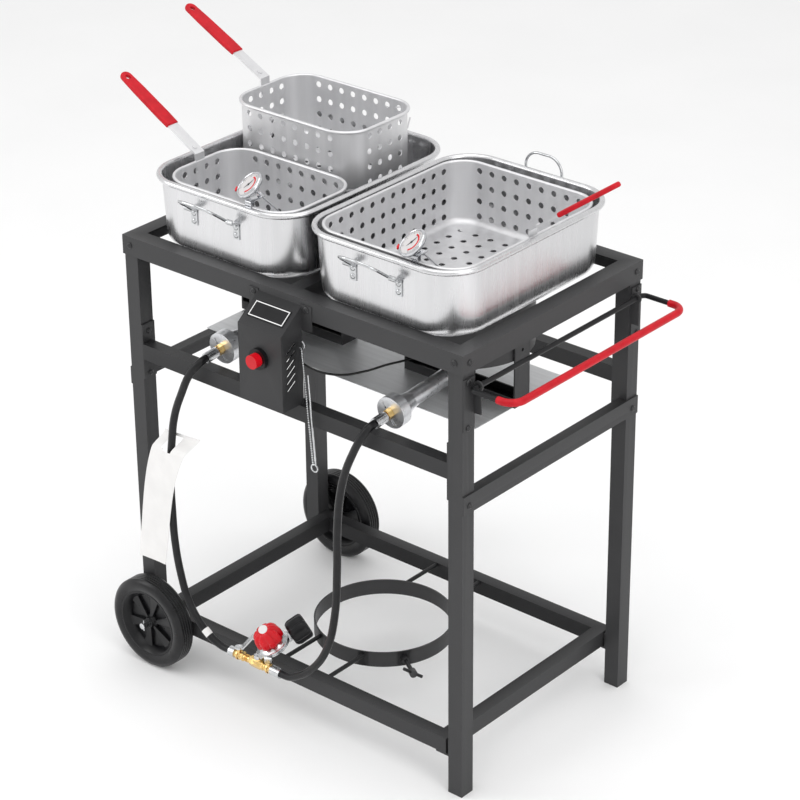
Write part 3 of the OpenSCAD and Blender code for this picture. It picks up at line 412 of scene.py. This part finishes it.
# ---------------------------------------------------------------- CAD parts that keep their shape
FRAME_EDGE = 0.9
SMALL_EDGE = 0.7
for name, obj in NODES.items():
    obj.data.materials.clear()
    obj.data.materials.append(MATERIALS["rolled_sheet" if name == "heat_shield" else SLOT_OF[name]])
for name in ("top_frame", "legs_left", "legs_right", "mid_rail_front", "mid_rail_back", "side_rails",
             "shelf_frame", "shelf_brackets", "handle_brackets", "control_panel", "burner_brackets",
             "badge_plate"):
    soften(NODES[name], FRAME_EDGE)
for name in ("frame_bolts", "igniter_collar", "igniter_button", "tank_screw",
             "valve_lever_left", "valve_lever_right", "hose_ferrules"):
    soften(NODES[name], SMALL_EDGE)


# ---------------------------------------------------------------- pans
RIM_OVERHANG = 9
RIM_R = 5.3
PAN_METAL = 1.6
PAN_CORNER = 75
PAN_LEAST_CORNER = 20
PAN_BOTTOM_R = 20
WALL_STOP = 11          # the outside of the wall ends this far under the top of the rim
CORNER_GROWTH = 16      # how much larger a corner's radius is at the bottom than at the rim
BEND_STEPS, WALL_STEPS, RIM_STEPS = 8, 7, 14


def pan_mesh(node):
    """A drawn pan: its corners widen towards the bottom and its rim is rolled outwards."""
    low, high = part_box(node)
    centre, size = (low + high) / 2, (high - low) / MM
    tall = size.z
    section = []            # (inset from the rim's outside, height), up the outside and down the inside
    for k in range(BEND_STEPS + 1):
        t = math.radians(90 * k / BEND_STEPS)
        section.append((RIM_OVERHANG + PAN_BOTTOM_R * (1 - math.sin(t)), PAN_BOTTOM_R * (1 - math.cos(t))))
    for k in range(1, WALL_STEPS + 1):
        section.append((RIM_OVERHANG, PAN_BOTTOM_R + (tall - PAN_BOTTOM_R - WALL_STOP) * k / WALL_STEPS))
    meet = RIM_OVERHANG - RIM_R
    start = math.atan2(-math.sqrt(RIM_R ** 2 - meet ** 2), -meet)
    for k in range(RIM_STEPS + 1):
        t = start + (math.pi - start) * k / RIM_STEPS
        section.append((RIM_R - RIM_R * math.cos(t), tall - RIM_R + RIM_R * math.sin(t)))
    inner, inner_r = RIM_OVERHANG + PAN_METAL, PAN_BOTTOM_R - PAN_METAL
    for k in range(1, WALL_STEPS + 1):
        section.append((inner, tall - RIM_R - (tall - RIM_R - PAN_BOTTOM_R) * k / WALL_STEPS))
    for k in range(1, BEND_STEPS + 1):
        t = math.radians(90 * k / BEND_STEPS)
        section.append((inner + inner_r * (1 - math.cos(t)), PAN_BOTTOM_R - inner_r * math.sin(t)))
    rings = []
    for inset, z in section:
        corner = max(PAN_LEAST_CORNER, PAN_CORNER - inset + CORNER_GROWTH * (1 - z / tall))
        rings.append(rounded(centre, size.x / 2 - inset, size.y / 2 - inset, corner, low.z + z * MM))
    return loft(rings)


for side in ("left", "right"):
    node = "pan_" + side
    pan = piece(node + "_shell", [pan_mesh(node)], "aluminium_pan", BODY_OF[node], sharp=50)
    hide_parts(node)


# ---------------------------------------------------------------- bail brackets
BAIL_OUT = 15           # from the pan's wall to the middle of the bail's wire
BRACKET_W = 14
BRACKET_T = 1.9
CURL_R = 3.9            # of the curl round the bail's end
# Out from the wall and up from the bail's axis, from the bracket's lower end to the curl.
BRACKET_FOOT = ((1.2, -35.4), (1.3, -22), (1.4, -12), (3, -6.5), (7, -4.4), (BAIL_OUT - 4.4, -4.2))
RIVET_HEAD = [(5.2, 0), (5, 0.9), (4, 1.9), (2.4, 2.6), (0.8, 2.8)]
RIVET_DROPS = (13.5, 28)
RIVET_OUT = 2


def bracket(x, wall, face, axis_z):
    """A bracket curled round a bail's end, and its rivets; x, wall and axis_z are in metres."""
    def off(out, up):
        """A point so far out from the wall and so far above the bail's axis."""
        return Vector((x, wall + face * out * MM, axis_z + up * MM))

    turn = [math.radians(a) for a in range(-130, 100, 20)]
    curl = [off(BAIL_OUT + CURL_R * math.cos(t), CURL_R * math.sin(t)) for t in turn]
    foot = [off(out, up) for out, up in BRACKET_FOOT]
    rivets = [turned(off(RIVET_OUT, -drop), Y * face, RIVET_HEAD, 24) for drop in RIVET_DROPS]
    return [strip(foot + curl, X * BRACKET_W, BRACKET_T)] + rivets


for side in ("left", "right"):
    low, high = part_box("bail_brackets_" + side)
    half_w = BRACKET_W / 2 * MM
    parts = []
    for end, face in (("front", -1), ("back", 1)):
        bail_axis = Vector(JOINTS[f"bail_{side}_{end}_swing"]["pos_m"])
        wall = bail_axis.y - face * BAIL_OUT * MM
        for x in (low.x + half_w, high.x - half_w):
            parts += bracket(x, wall, face, bail_axis.z)
    brackets = piece(f"bail_brackets_{side}_curled", parts, "bright_wire", "pan_" + side, sharp=60)
    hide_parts("bail_brackets_" + side)

# ---------------------------------------------------------------- grips
GRIP_T = 9
GRIP_EDGE = 3.2
GRIP_TILTS = (("grip_front", -1, 30), ("grip_back", -1, 27), ("grip_full", 1, 36))  # side, degrees
ENDS_PART = 0.47        # half the width at the strap's end and before the tip, as a part of the width
TIP_PART = 0.42         # the tip's radius as a part of the width
WIDEST_FROM = 25        # from the strap's end to where the grip is widest
NARROW_FROM = 45        # from the tip to where the grip starts to narrow
HOLE_R = 4.2
HOLE_BACK = 1.25        # from the tip to the hole's middle, in tip radii


def flat_outline(name, outline, hole, matrix, thick, edge, slot, body):
    """A flat moulded shape with a round hole and edges rounded by edge, placed by a matrix."""
    curve = bpy.data.curves.new(name, "CURVE")
    curve.dimensions = "2D"
    curve.fill_mode = "BOTH"
    curve.extrude = (thick / 2 - edge) * MM
    curve.bevel_depth = edge * MM
    curve.bevel_resolution = 4
    curve.offset = -edge * MM
    (hx, hy), hole_r = hole
    turn = [2 * math.pi * k / 24 for k in range(24)]
    ring = [(hx + hole_r * math.cos(t), hy + hole_r * math.sin(t)) for t in turn]
    for points in (outline, ring[::-1]):
        spline = curve.splines.new("POLY")
        spline.points.add(len(points) - 1)
        spline.use_cyclic_u = True
        for p, (x, y) in zip(spline.points, points):
            p.co = (x * MM, y * MM, 0, 1)
    source = bpy.data.objects.new(name + "_outline", curve)
    bpy.context.scene.collection.objects.link(source)
    bpy.context.view_layer.update()
    evaluated = source.evaluated_get(bpy.context.evaluated_depsgraph_get())
    mesh = bpy.data.meshes.new_from_object(evaluated)
    bpy.data.objects.remove(source)
    mesh.transform(matrix)
    mesh.materials.clear()
    obj = bpy.data.objects.new(name, mesh)
    bpy.context.scene.collection.objects.link(obj)
    return finish_piece(obj, slot, body, sharp=30)


for node, side, degrees in GRIP_TILTS:
    low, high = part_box(node)
    centre, size = (low + high) / 2, (high - low) / MM
    tilt = math.radians(degrees)
    length = (size.x - GRIP_T * math.sin(tilt)) / math.cos(tilt)
    wide = size.y
    along = Vector((side * math.cos(tilt), 0, math.sin(tilt)))
    normal = Vector((-side * math.sin(tilt), 0, math.cos(tilt)))
    across = normal.cross(along)
    tip_r = wide * TIP_PART
    outline = [(-length / 2, -wide * ENDS_PART), (-length / 2 + WIDEST_FROM, -wide / 2),
               (length / 2 - NARROW_FROM, -wide * ENDS_PART)]
    tip = [math.radians(-90 + 180 * k / 16) for k in range(17)]
    outline += [(length / 2 - tip_r + tip_r * math.cos(t), tip_r * math.sin(t)) for t in tip]
    outline += [(x, -y) for x, y in outline[2::-1]]
    matrix = Matrix.Translation(centre) @ Matrix((along, across, normal)).transposed().to_4x4()
    hole = ((length / 2 - tip_r * HOLE_BACK, 0), HOLE_R)
    grip = flat_outline(node + "_vinyl", outline, hole, matrix, GRIP_T, GRIP_EDGE, "red_grip", BODY_OF[node])
    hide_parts(node)

# ---------------------------------------------------------------- wheels
# Sections are lists of (radius, height): the height is measured from the wheel's middle along its axle.
TYRE_R = 89
TYRE_HALF = 20
SIDE_WALL = [(66, 17), (70, 18.5), (76, TYRE_HALF), (82, 19), (86.5, 16)]
RIBS = 5
FIRST_RIB = -13.2
RIB_STEP = 5.7
SHOULDER_R = 88.2
GROOVE_R = 85.4
AXLE_HOLE_R = 6.3
WEB = [(12, -1.2), (61.5, -1.2), (61.5, 1.2), (12, 1.2)]
DISH = [(66.5, 16.6), (65.4, 17.6), (62.4, 17.4), (60.6, 15.6), (53, 5), (52, 1), (63, 1), (66.5, 12)]
BOSS = [(14.5, 0), (14, 5), (11, 8), (9.6, 12.6), (8.6, 13.4), (AXLE_HOLE_R, 13.4), (AXLE_HOLE_R, 0)]
HUB_EDGE = 0.5
SPOKES = 6
SPOKE_TURN = 12         # degrees from the top to the first spoke
SPOKE = ((11, 14, 1), (57, 12, 1), (57, 11.6, 7.6), (53, 11.2, 5.8), (11, 13, 8))  # radius, degrees, height


def tyre_section():
    """The tyre's closed section: two side walls, and ribs with grooves between them."""
    section = [(r, -h) for r, h in SIDE_WALL]
    for rib in range(RIBS):
        y = FIRST_RIB + RIB_STEP * rib
        section += [(SHOULDER_R, y - 0.6), (TYRE_R, y + 0.4), (TYRE_R, y + 3.2), (SHOULDER_R, y + 4.1)]
        if rib < RIBS - 1:
            section += [(GROOVE_R, y + 4.35), (GROOVE_R, y + 4.85)]
    return section + SIDE_WALL[::-1]


def on_face(section, face):
    """A closed section turned to one face of the wheel, running so that its skin faces outwards."""
    return [(r, h * face) for r, h in section[::face]]


def spoke(centre, face, middle):
    """A raised spoke on one face of the wheel; middle is its direction in degrees from the top."""
    sides = []
    for sign in (-1, 1):
        side = []
        for r, half, h in SPOKE:
            t = math.radians(middle + sign * half)
            side.append(centre + (X * math.sin(t) + Z * math.cos(t)) * r * MM + Y * face * h * MM)
        sides.append(side)
    return loft(sides)


for end in ("front", "back"):
    centre = Vector(JOINTS[f"wheel_{end}_spin"]["pos_m"])
    low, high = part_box("tyre_" + end)
    centre.y = (low.y + high.y) / 2
    tyre = piece(f"tyre_{end}_ribbed", [hoop(centre, Y, tyre_section(), 96)], "tyre_rubber", "wheel_" + end,
                 sharp=25)
    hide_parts("tyre_" + end)
    parts = [hoop(centre, Y, WEB, 96)]
    for face in (-1, 1):
        parts.append(hoop(centre, Y, on_face(DISH, face), 96))
        parts.append(hoop(centre, Y, on_face(BOSS, face), 48))
        parts += [spoke(centre, face, 360 // SPOKES * k + SPOKE_TURN) for k in range(SPOKES)]
    hub = piece(f"hub_{end}_dish", parts, "black_plastic", "wheel_" + end, sharp=30)
    soften(hub, HUB_EDGE)
    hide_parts("hub_" + end)

# ---------------------------------------------------------------- regulator, knob and tank nut
# Profiles are lists of (radius, height), the height from the joint's place along its axis.
MANIFOLD_Y, MANIFOLD_Z = -262, 101
TEE_X = -75             # of the manifold's tee, which the regulator's outlet comes down to
REGULATOR = [(9, -12), (15, -12), (17, -11), (24, -6), (28.5, -2.4), (31, -2), (31.5, -1.2), (31.5, 0.4),
             (30.4, 1), (30.4, 2), (31.5, 2.6), (31.5, 4.4), (31, 5), (28, 5.6), (24, 8.4), (20, 11),
             (4, 11.6)]
STEM_D = 18
STEM_NEAR, STEM_FAR = 18, 34            # both stems, either way along the nut's axis
INLET_HEX = [(8.2, 26), (10.8, 27), (10.8, 31.6), (8.2, 32.6)]
OUTLET_HEX = [(8.2, -34), (10.4, -33), (10.4, -27), (8.2, -26)]
NECK_D = 14
NECK_LOW, NECK_HIGH = 111, 118          # z
KNOB = [(20, 12), (26, 12.2), (27, 13.2), (27, 21), (26.4, 25), (25.6, 29), (24, 32.5), (21.4, 36),
        (17.6, 39), (14.4, 40.6), (10, 41.1), (2, 41.2)]
KNOB_LOBES, KNOB_LOBE_DEPTH = 9, 3.2
LABEL_HALF_W, LABEL_HALF_H = 12.5, 8.5
LABEL_RINGS = ((0.96, 40.6), (1.0, 41.4), (0.97, 41.8), (0.4, 41.95))   # part of its size, height
NUT = [(9.6, 34.4), (17, 34.4), (20.4, 35.4), (23.4, 38.6), (25, 43.5), (25, 62), (24.4, 66.5), (22.4, 69),
       (19.6, 70), (18.6, 69.2), (18, 46), (9.6, 45)]
NUT_LOBES, NUT_LOBE_DEPTH = 8, 3.4
NUT_PLUG = [(9.4, 40.6), (9.4, 52), (8, 53), (3, 53.2)]

knob_joint, nut_joint = JOINTS["regulator_knob_turn"], JOINTS["tank_nut_turn"]
knob_axis, nut_axis = Vector(knob_joint["axis"]), Vector(nut_joint["axis"])
reg_at, nut_at = Vector(knob_joint["pos_m"]), Vector(nut_joint["pos_m"])
stem_near, stem_far = nut_axis * STEM_NEAR * MM, nut_axis * STEM_FAR * MM
regulator = piece("regulator_body", [
    turned(reg_at, knob_axis, REGULATOR, 72),
    bar(nut_at + stem_near, nut_at + stem_far, STEM_D, 32),
    turned(nut_at, nut_axis, INLET_HEX, 6),
    bar(nut_at - stem_near, nut_at - stem_far, STEM_D, 32),
    turned(nut_at, nut_axis, OUTLET_HEX, 6),
    bar(at(TEE_X, MANIFOLD_Y, NECK_LOW), at(TEE_X, MANIFOLD_Y, NECK_HIGH), NECK_D, 24)],
    "zinc_steel", "stand", sharp=30)
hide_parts("regulator")
knob = piece("regulator_knob_lobed", [
    turned(reg_at, knob_axis, KNOB, 108, lobes=KNOB_LOBES, depth=KNOB_LOBE_DEPTH)],
    "red_plastic", "regulator_knob", sharp=50)
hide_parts("regulator_knob")
u, v = axes(knob_axis)
turn = [math.radians(10 * k) for k in range(36)]
oval = [u * math.cos(t) * LABEL_HALF_W + v * math.sin(t) * LABEL_HALF_H for t in turn]
label_rings = [[reg_at + knob_axis * lift * MM + p * scale * MM for p in oval] for scale, lift in LABEL_RINGS]
piece("knob_blank_label", [loft(label_rings)], "white_card", "regulator_knob")
nut = piece("tank_nut_lobed", [
    turned(nut_at, nut_axis, NUT, 120, lobes=NUT_LOBES, depth=NUT_LOBE_DEPTH),
    turned(nut_at, nut_axis, NUT_PLUG, 6)], "black_plastic", "tank_nut", sharp=35)
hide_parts("tank_nut")

# ---------------------------------------------------------------- gas manifold
PIPE_FROM, PIPE_TO, PIPE_R = -129, -40, 6.4
HEXAGONS = ((-92, -62, 10), (-112.6, -106.5, 9), (-63.5, -57.6, 9))     # from x, to x, radius
VALVE_X = (-121, -48)
VALVE_HEX_HALF, VALVE_HEX_R = 7.2, 9.2
VALVE_END_R = 7
VALVE_STEM = [(6.4, 0), (6.4, 7), (5, 8.4), (5, 13)]
VALVE_RING = [(9.4, -2), (9.9, -1.4), (9.9, 1.4), (9.4, 2)]
THREAD_FROM, THREAD_STEP, THREADS = -104, 1.2, 7
THREAD_W = 0.8
THREAD = [(6.6, 0), (7.1, 0.3), (7.1, 0.7), (6.6, 1)]
TEE_HEX = [(8.4, 0), (9, 1), (9, 9), (8.2, 10)]


def along_x(x0, x1, sections, steps):
    """A turned shape along +X at the manifold's height; sections are (radius, part of the way)."""
    start = at(x0, MANIFOLD_Y, MANIFOLD_Z)
    return turned(start, X, [(r, (x1 - x0) * t) for r, t in sections], steps)


def hexagon(x0, x1, r):
    """A hexagonal fitting with its ends turned down."""
    return along_x(x0, x1, [(r * 0.86, 0), (r, 0.16), (r, 0.84), (r * 0.86, 1)], 6)


def barrel(x0, x1, r):
    """A round pipe with softened ends."""
    return along_x(x0, x1, [(r - 0.5, 0), (r, 0.06), (r, 0.94), (r - 0.5, 1)], 32)


parts = [barrel(PIPE_FROM, PIPE_TO, PIPE_R)]
parts += [hexagon(x0, x1, r) for x0, x1, r in HEXAGONS]
for x in VALVE_X:
    valve_at = at(x, MANIFOLD_Y, MANIFOLD_Z)
    parts.append(hexagon(x - VALVE_HEX_HALF, x + VALVE_HEX_HALF, VALVE_HEX_R))
    parts += [barrel(x - 8, x - 7, VALVE_END_R), barrel(x + 7, x + 8, VALVE_END_R)]
    parts.append(turned(valve_at, Z, VALVE_STEM, 32))
    parts.append(hoop(valve_at, X, VALVE_RING, 48))
for k in range(THREADS):
    x = THREAD_FROM + THREAD_STEP * k
    parts.append(along_x(x, x + THREAD_W, THREAD, 32))
parts.append(turned(at(TEE_X, MANIFOLD_Y, MANIFOLD_Z), Z, TEE_HEX, 6))
manifold = piece("gas_manifold_brass", parts, "brass", "stand", sharp=28)
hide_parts("gas_manifold")

# ---------------------------------------------------------------- thermometers
# The middle of each dial, and the y of the front of the basket's rim that it is clipped to.
DIALS = {"left": ((-119, -198, 1000), -209.5), "right": ((240, -200, 995), -203)}
FACE_NORMAL = Vector((-0.3446, -0.5736, 0.7431))
# Profiles are lists of (radius, height) along the dial's normal, from the front edge of its case.
CASE = [(5, -10), (22, -10), (25, -9.2), (26.6, -7), (27, -4), (27, -2.6), (26.4, -1.2), (25.2, -0.2),
        (23.8, 0), (22.9, -0.5), (22.6, -2.2), (22.4, -2.6)]
CASE_HEX = [(5.4, -18), (5.4, -10)]
CASE_COLLAR = [(3.4, -22), (4.2, -21.4), (4.2, -18), (3.4, -17.6)]
PROBE_FROM, PROBE_TO, PROBE_D, PROBE_TIP_D = 12, 165, 3.6, 1.4
FACE_BACK = 2.5
FACE = [(22.5, 0), (22.5, 0.5), (1, 0.5)]
MARK_LIFT = 0.55        # marks start this far above the face's underside
RED_FROM, RED_SWEEP, RED_STEPS = -20, 170, 26
RED_OUTER_R, RED_INNER_R, RED_T = 16.6, 13.4, 0.2
RED_NUB = ((222, 26.4), (216, 31.4), (226, 33), (236, 31.4))    # degrees, radius
NUB_BACK, NUB_T = 4, 3
TICKS, TICK_FROM, TICK_SWEEP, TICK_R, TICK_T = 31, -140, 280, 20.6, 0.15
LONG_TICK, SHORT_TICK = (3.2, 1.1), (1.7, 0.7)          # length, half width in degrees
LONG_EVERY = 5
HAND = ((12, 15.5), (100, 0.9), (196, 11), (284, 0.9))  # degrees, radius
HAND_LIFT, HAND_T = 1.1, 0.4
HAND_BOSS = [(2, 0.5), (2, 1.7), (1.2, 2.1), (0.3, 2.2)]
CLIP_Z = 974
CLIP_X = 11             # from the dial's middle
CLIP_W, CLIP_T = 13, 1.3
CLIP_OUT = 1.15         # from the rim to the middle of the outer prong's metal
CLIP_SLIDER_BACK = 33.5
CLIP_SLIDER = [(4.4, 0), (4.8, 0.5), (4.8, 5.5), (4.4, 6)]


def spots(centre, u, v, pairs):
    """Points on a dial from pairs of (degrees clockwise from the top, radius)."""
    points = []
    for degrees, radius in pairs:
        t = math.radians(degrees)
        points.append(centre + (v * math.cos(t) + u * math.sin(t)) * radius * MM)
    return points


def plate(points, up, thick):
    """A thin plate standing on a closed outline of points."""
    return loft([points, [p + up * thick * MM for p in points]])


def clip_prongs(x, dial_y, front):
    """The two bent strips that hold the dial to the basket's rim; front is the y of the outer one."""
    top = CLIP_Z + 0.75
    outer = [at(x, dial_y + 22, top), at(x, front + 2.2, top), at(x, front + 0.6, top - 0.5),
             at(x, front, top - 2), at(x, front, top - 16), at(x, front - 0.35, top - 18)]
    inner = [at(x, front + 9.9, top), at(x, front + 8.4, top - 0.9), at(x, front + 7.9, top - 2.6),
             at(x, front + 7.9, top - 18)]
    return [strip(prong, X * CLIP_W, CLIP_T) for prong in (outer, inner)]


for side, (place, rim_y) in DIALS.items():
    body = "thermometer_" + side
    c, n = at(*place), FACE_NORMAL
    u, v = axes(n)
    case = piece(f"dial_{side}_case", [
        turned(c, n, CASE, 72), turned(c, n, CASE_HEX, 6), turned(c, n, CASE_COLLAR, 32),
        bar(c - n * PROBE_FROM * MM, c - n * PROBE_TO * MM, PROBE_D, 20, tip=PROBE_TIP_D)],
        "dial_chrome", body, sharp=30)
    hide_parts("thermometer_" + side)
    face = c - n * FACE_BACK * MM
    piece(f"dial_{side}_face", [turned(face, n, FACE, 72)], "white_card", body, "dial_white")
    mark_at = face + n * MARK_LIFT * MM
    angles = [RED_FROM + RED_SWEEP * k / RED_STEPS for k in range(RED_STEPS + 1)]
    red = []
    for a, b in zip(angles, angles[1:]):
        corners = ((a, RED_OUTER_R), (b, RED_OUTER_R), (b, RED_INNER_R), (a, RED_INNER_R))
        red.append(plate(spots(mark_at, u, v, corners), n, RED_T))
    red.append(plate(spots(c - n * NUB_BACK * MM, u, v, RED_NUB), n, NUB_T))
    piece(f"dial_{side}_red_marks", red, "red_plastic", body)
    marks = []
    for k in range(TICKS):
        angle = TICK_FROM + TICK_SWEEP * k / (TICKS - 1)
        deep, wide = LONG_TICK if k % LONG_EVERY == 0 else SHORT_TICK
        corners = ((angle - wide, TICK_R), (angle + wide, TICK_R),
                   (angle + wide, TICK_R - deep), (angle - wide, TICK_R - deep))
        marks.append(plate(spots(mark_at, u, v, corners), n, TICK_T))
    marks.append(plate(spots(face + n * HAND_LIFT * MM, u, v, HAND), n, HAND_T))
    marks.append(turned(face, n, HAND_BOSS, 24))
    piece(f"dial_{side}_hand", marks, "black_plastic", body, "dial_black")
    prongs = clip_prongs(place[0] + CLIP_X, place[1], rim_y - CLIP_OUT)
    slider = turned(c - n * CLIP_SLIDER_BACK * MM, n, CLIP_SLIDER, 32)
    piece(f"dial_{side}_clip", prongs + [slider], "dial_chrome", body, sharp=30)

# ---------------------------------------------------------------- match holder chain
CHAIN_Y = -250
CHAIN_TOP, CHAIN_LOW = at(41, CHAIN_Y, 761), at(61, CHAIN_Y, 548)
MATCH_TOP, MATCH_LOW = at(54, CHAIN_Y, 716), at(67, CHAIN_Y, 548)
BEADS, BEAD_R = 50, 1.72
CORE_D = 0.9
MATCH_D, MATCH_TIP_D = 3, 2.4
RING_R, RING_WIRE_R = 7, 1.2
TOP_RING, LOW_RING = CHAIN_TOP + Z * RING_R * MM, CHAIN_LOW + X * 3 * MM - Z * 6 * MM

latitudes = [math.radians(a) for a in (-82, -55, -28, 0, 28, 55, 82)]
ball = [(BEAD_R * math.cos(t), BEAD_R * math.sin(t)) for t in latitudes]
turn = [math.radians(45 * k) for k in range(8)]
wire = [(RING_R + RING_WIRE_R * math.cos(t), RING_WIRE_R * math.sin(t)) for t in turn]
way = CHAIN_LOW - CHAIN_TOP
parts = [turned(CHAIN_TOP.lerp(CHAIN_LOW, k / (BEADS - 1)), way, ball, 12) for k in range(BEADS)]
parts.append(bar(CHAIN_TOP, CHAIN_LOW, CORE_D, 8))
parts.append(bar(MATCH_TOP, MATCH_LOW, MATCH_D, 14, tip=MATCH_TIP_D))
parts += [hoop(centre, Y, wire, 40) for centre in (TOP_RING, LOW_RING)]
chain = piece("match_chain_beads", parts, "zinc_steel", "stand", sharp=50)
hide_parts("match_chain")

# ---------------------------------------------------------------- badge border
PANEL_RISE, PANEL_RUN = 41, 52.5        # of the sloping face that the badge is on
BADGE_LIFT = 0.6
BORDER_OUTER, BORDER_INNER = (38.2, 14.2), (36.6, 12.6)         # half sizes
BORDER_LOW, BORDER_HIGH = -0.1, 0.3

low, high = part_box("badge_plate")
slope = math.atan2(PANEL_RISE, PANEL_RUN)
badge_n = Vector((0, -math.sin(slope), math.cos(slope)))
badge_v = Vector((0, math.cos(slope), math.sin(slope)))
badge_c = (low + high) / 2 + badge_n * BADGE_LIFT * MM
rings = []
for (half_x, half_y), lift in ((BORDER_OUTER, BORDER_LOW), (BORDER_OUTER, BORDER_HIGH),
                               (BORDER_INNER, BORDER_HIGH), (BORDER_INNER, BORDER_LOW)):
    rings.append([badge_c + X * sx * half_x * MM + badge_v * sy * half_y * MM + badge_n * lift * MM
                  for sx, sy in ((1, 1), (-1, 1), (-1, -1), (1, -1))])
piece("badge_border", [loft(rings, wrap=True)], "badge_black", "stand", "badge_white")

# ---------------------------------------------------------------- hang tag
TAG_LOW, TAG_TALL, TAG_T = 232, 276, 0.6
TAG_Y = -277
ROWS, COLUMNS = 46, 12
CURL_FROM, CURL_OVER, CURL_DEPTH = 0.88, 0.09, 20       # parts of the height, and how far back it curls
SLIT_S, SLIT_T = 0.43, 0.925                            # where the hose comes through the tag
SLIT_COLUMNS, SLIT_ROWS = 2.2, 2.6                      # half the slit's size in cells


def tag_point(s, t, back):
    """s goes across the tag and t up it, both from 0 to 1; back is how far behind the front face.

    The tag widens and leans to the right as it goes up, curls behind the hose near its top and is a
    little wavy.
    """
    left = -350 + 30 * t + 32 * t ** 4
    right = -287 + 55 * t + 35 * t ** 5
    curl = min(1, max(0, (t - CURL_FROM) / CURL_OVER))
    y = TAG_Y + CURL_DEPTH * curl * curl * (3 - 2 * curl) + 3 * math.sin(3 * t + 2 * s) + back
    return at(left + (right - left) * s, y, TAG_LOW + TAG_TALL * t + 8 * (s - 0.5) * t)


def in_slit(i, j):
    """Whether a cell of the tag is part of the oval slit for the hose."""
    across = (i + 0.5 - COLUMNS * SLIT_S) / SLIT_COLUMNS
    up = (j + 0.5 - ROWS * SLIT_T) / SLIT_ROWS
    return across ** 2 + up ** 2 <= 1


tag_verts, tag_faces = [], []
for back in (0, TAG_T):
    tag_verts += [tag_point(i / COLUMNS, j / ROWS, back) for j in range(ROWS + 1) for i in range(COLUMNS + 1)]
back_start = (ROWS + 1) * (COLUMNS + 1)
edges = []
for i, j in [(i, j) for j in range(ROWS) for i in range(COLUMNS) if not in_slit(i, j)]:
    a = j * (COLUMNS + 1) + i
    quad = (a, a + 1, a + COLUMNS + 2, a + COLUMNS + 1)
    tag_faces.append(quad)
    tag_faces.append(tuple(q + back_start for q in quad[::-1]))
    edges += [(quad[k], quad[(k + 1) % 4]) for k in range(4)]
shared = set(edges)
for a, b in edges:
    if (b, a) not in shared:
        tag_faces.append((b, a, a + back_start, b + back_start))
tag = piece("hang_tag_card", [(tag_verts, tag_faces)], "white_card", "stand", sharp=60)
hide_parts("hang_tag")

# ---------------------------------------------------------------- floor and light
FLOOR_SIZE = 30         # metres
WORLD_STRENGTH = 0.86

bpy.ops.mesh.primitive_plane_add(size=FLOOR_SIZE, location=(0, 0, 0))
floor = bpy.context.object
floor.name = "floor"
floor.data.materials.append(MATERIALS["floor"])

world = bpy.data.worlds.new("studio")
bpy.context.scene.world = world
world.use_nodes = True
background = world.node_tree.nodes["Background"]
background.inputs["Color"].default_value = (1, 1, 1, 1)
background.inputs["Strength"].default_value = WORLD_STRENGTH


def softbox(name, place, target, width, height, power):
    """A rectangular lamp that faces a target; metres and watts."""
    light = bpy.data.lights.new(name, "AREA")
    light.shape = "RECTANGLE"
    light.size, light.size_y = width, height
    light.energy = power
    obj = bpy.data.objects.new(name, light)
    bpy.context.scene.collection.objects.link(obj)
    obj.location = place
    obj.rotation_euler = (Vector(target) - Vector(place)).to_track_quat("-Z", "Y").to_euler()


softbox("top_box", (0.3, -0.4, 3.4), (0, 0, 0.6), 3.0, 3.0, 34)
softbox("left_box", (-2.6, -2.4, 2.2), (0, 0, 0.7), 1.2, 2.4, 26)
softbox("right_box", (3.2, -0.6, 1.9), (0, 0, 0.7), 1.6, 2.2, 22)
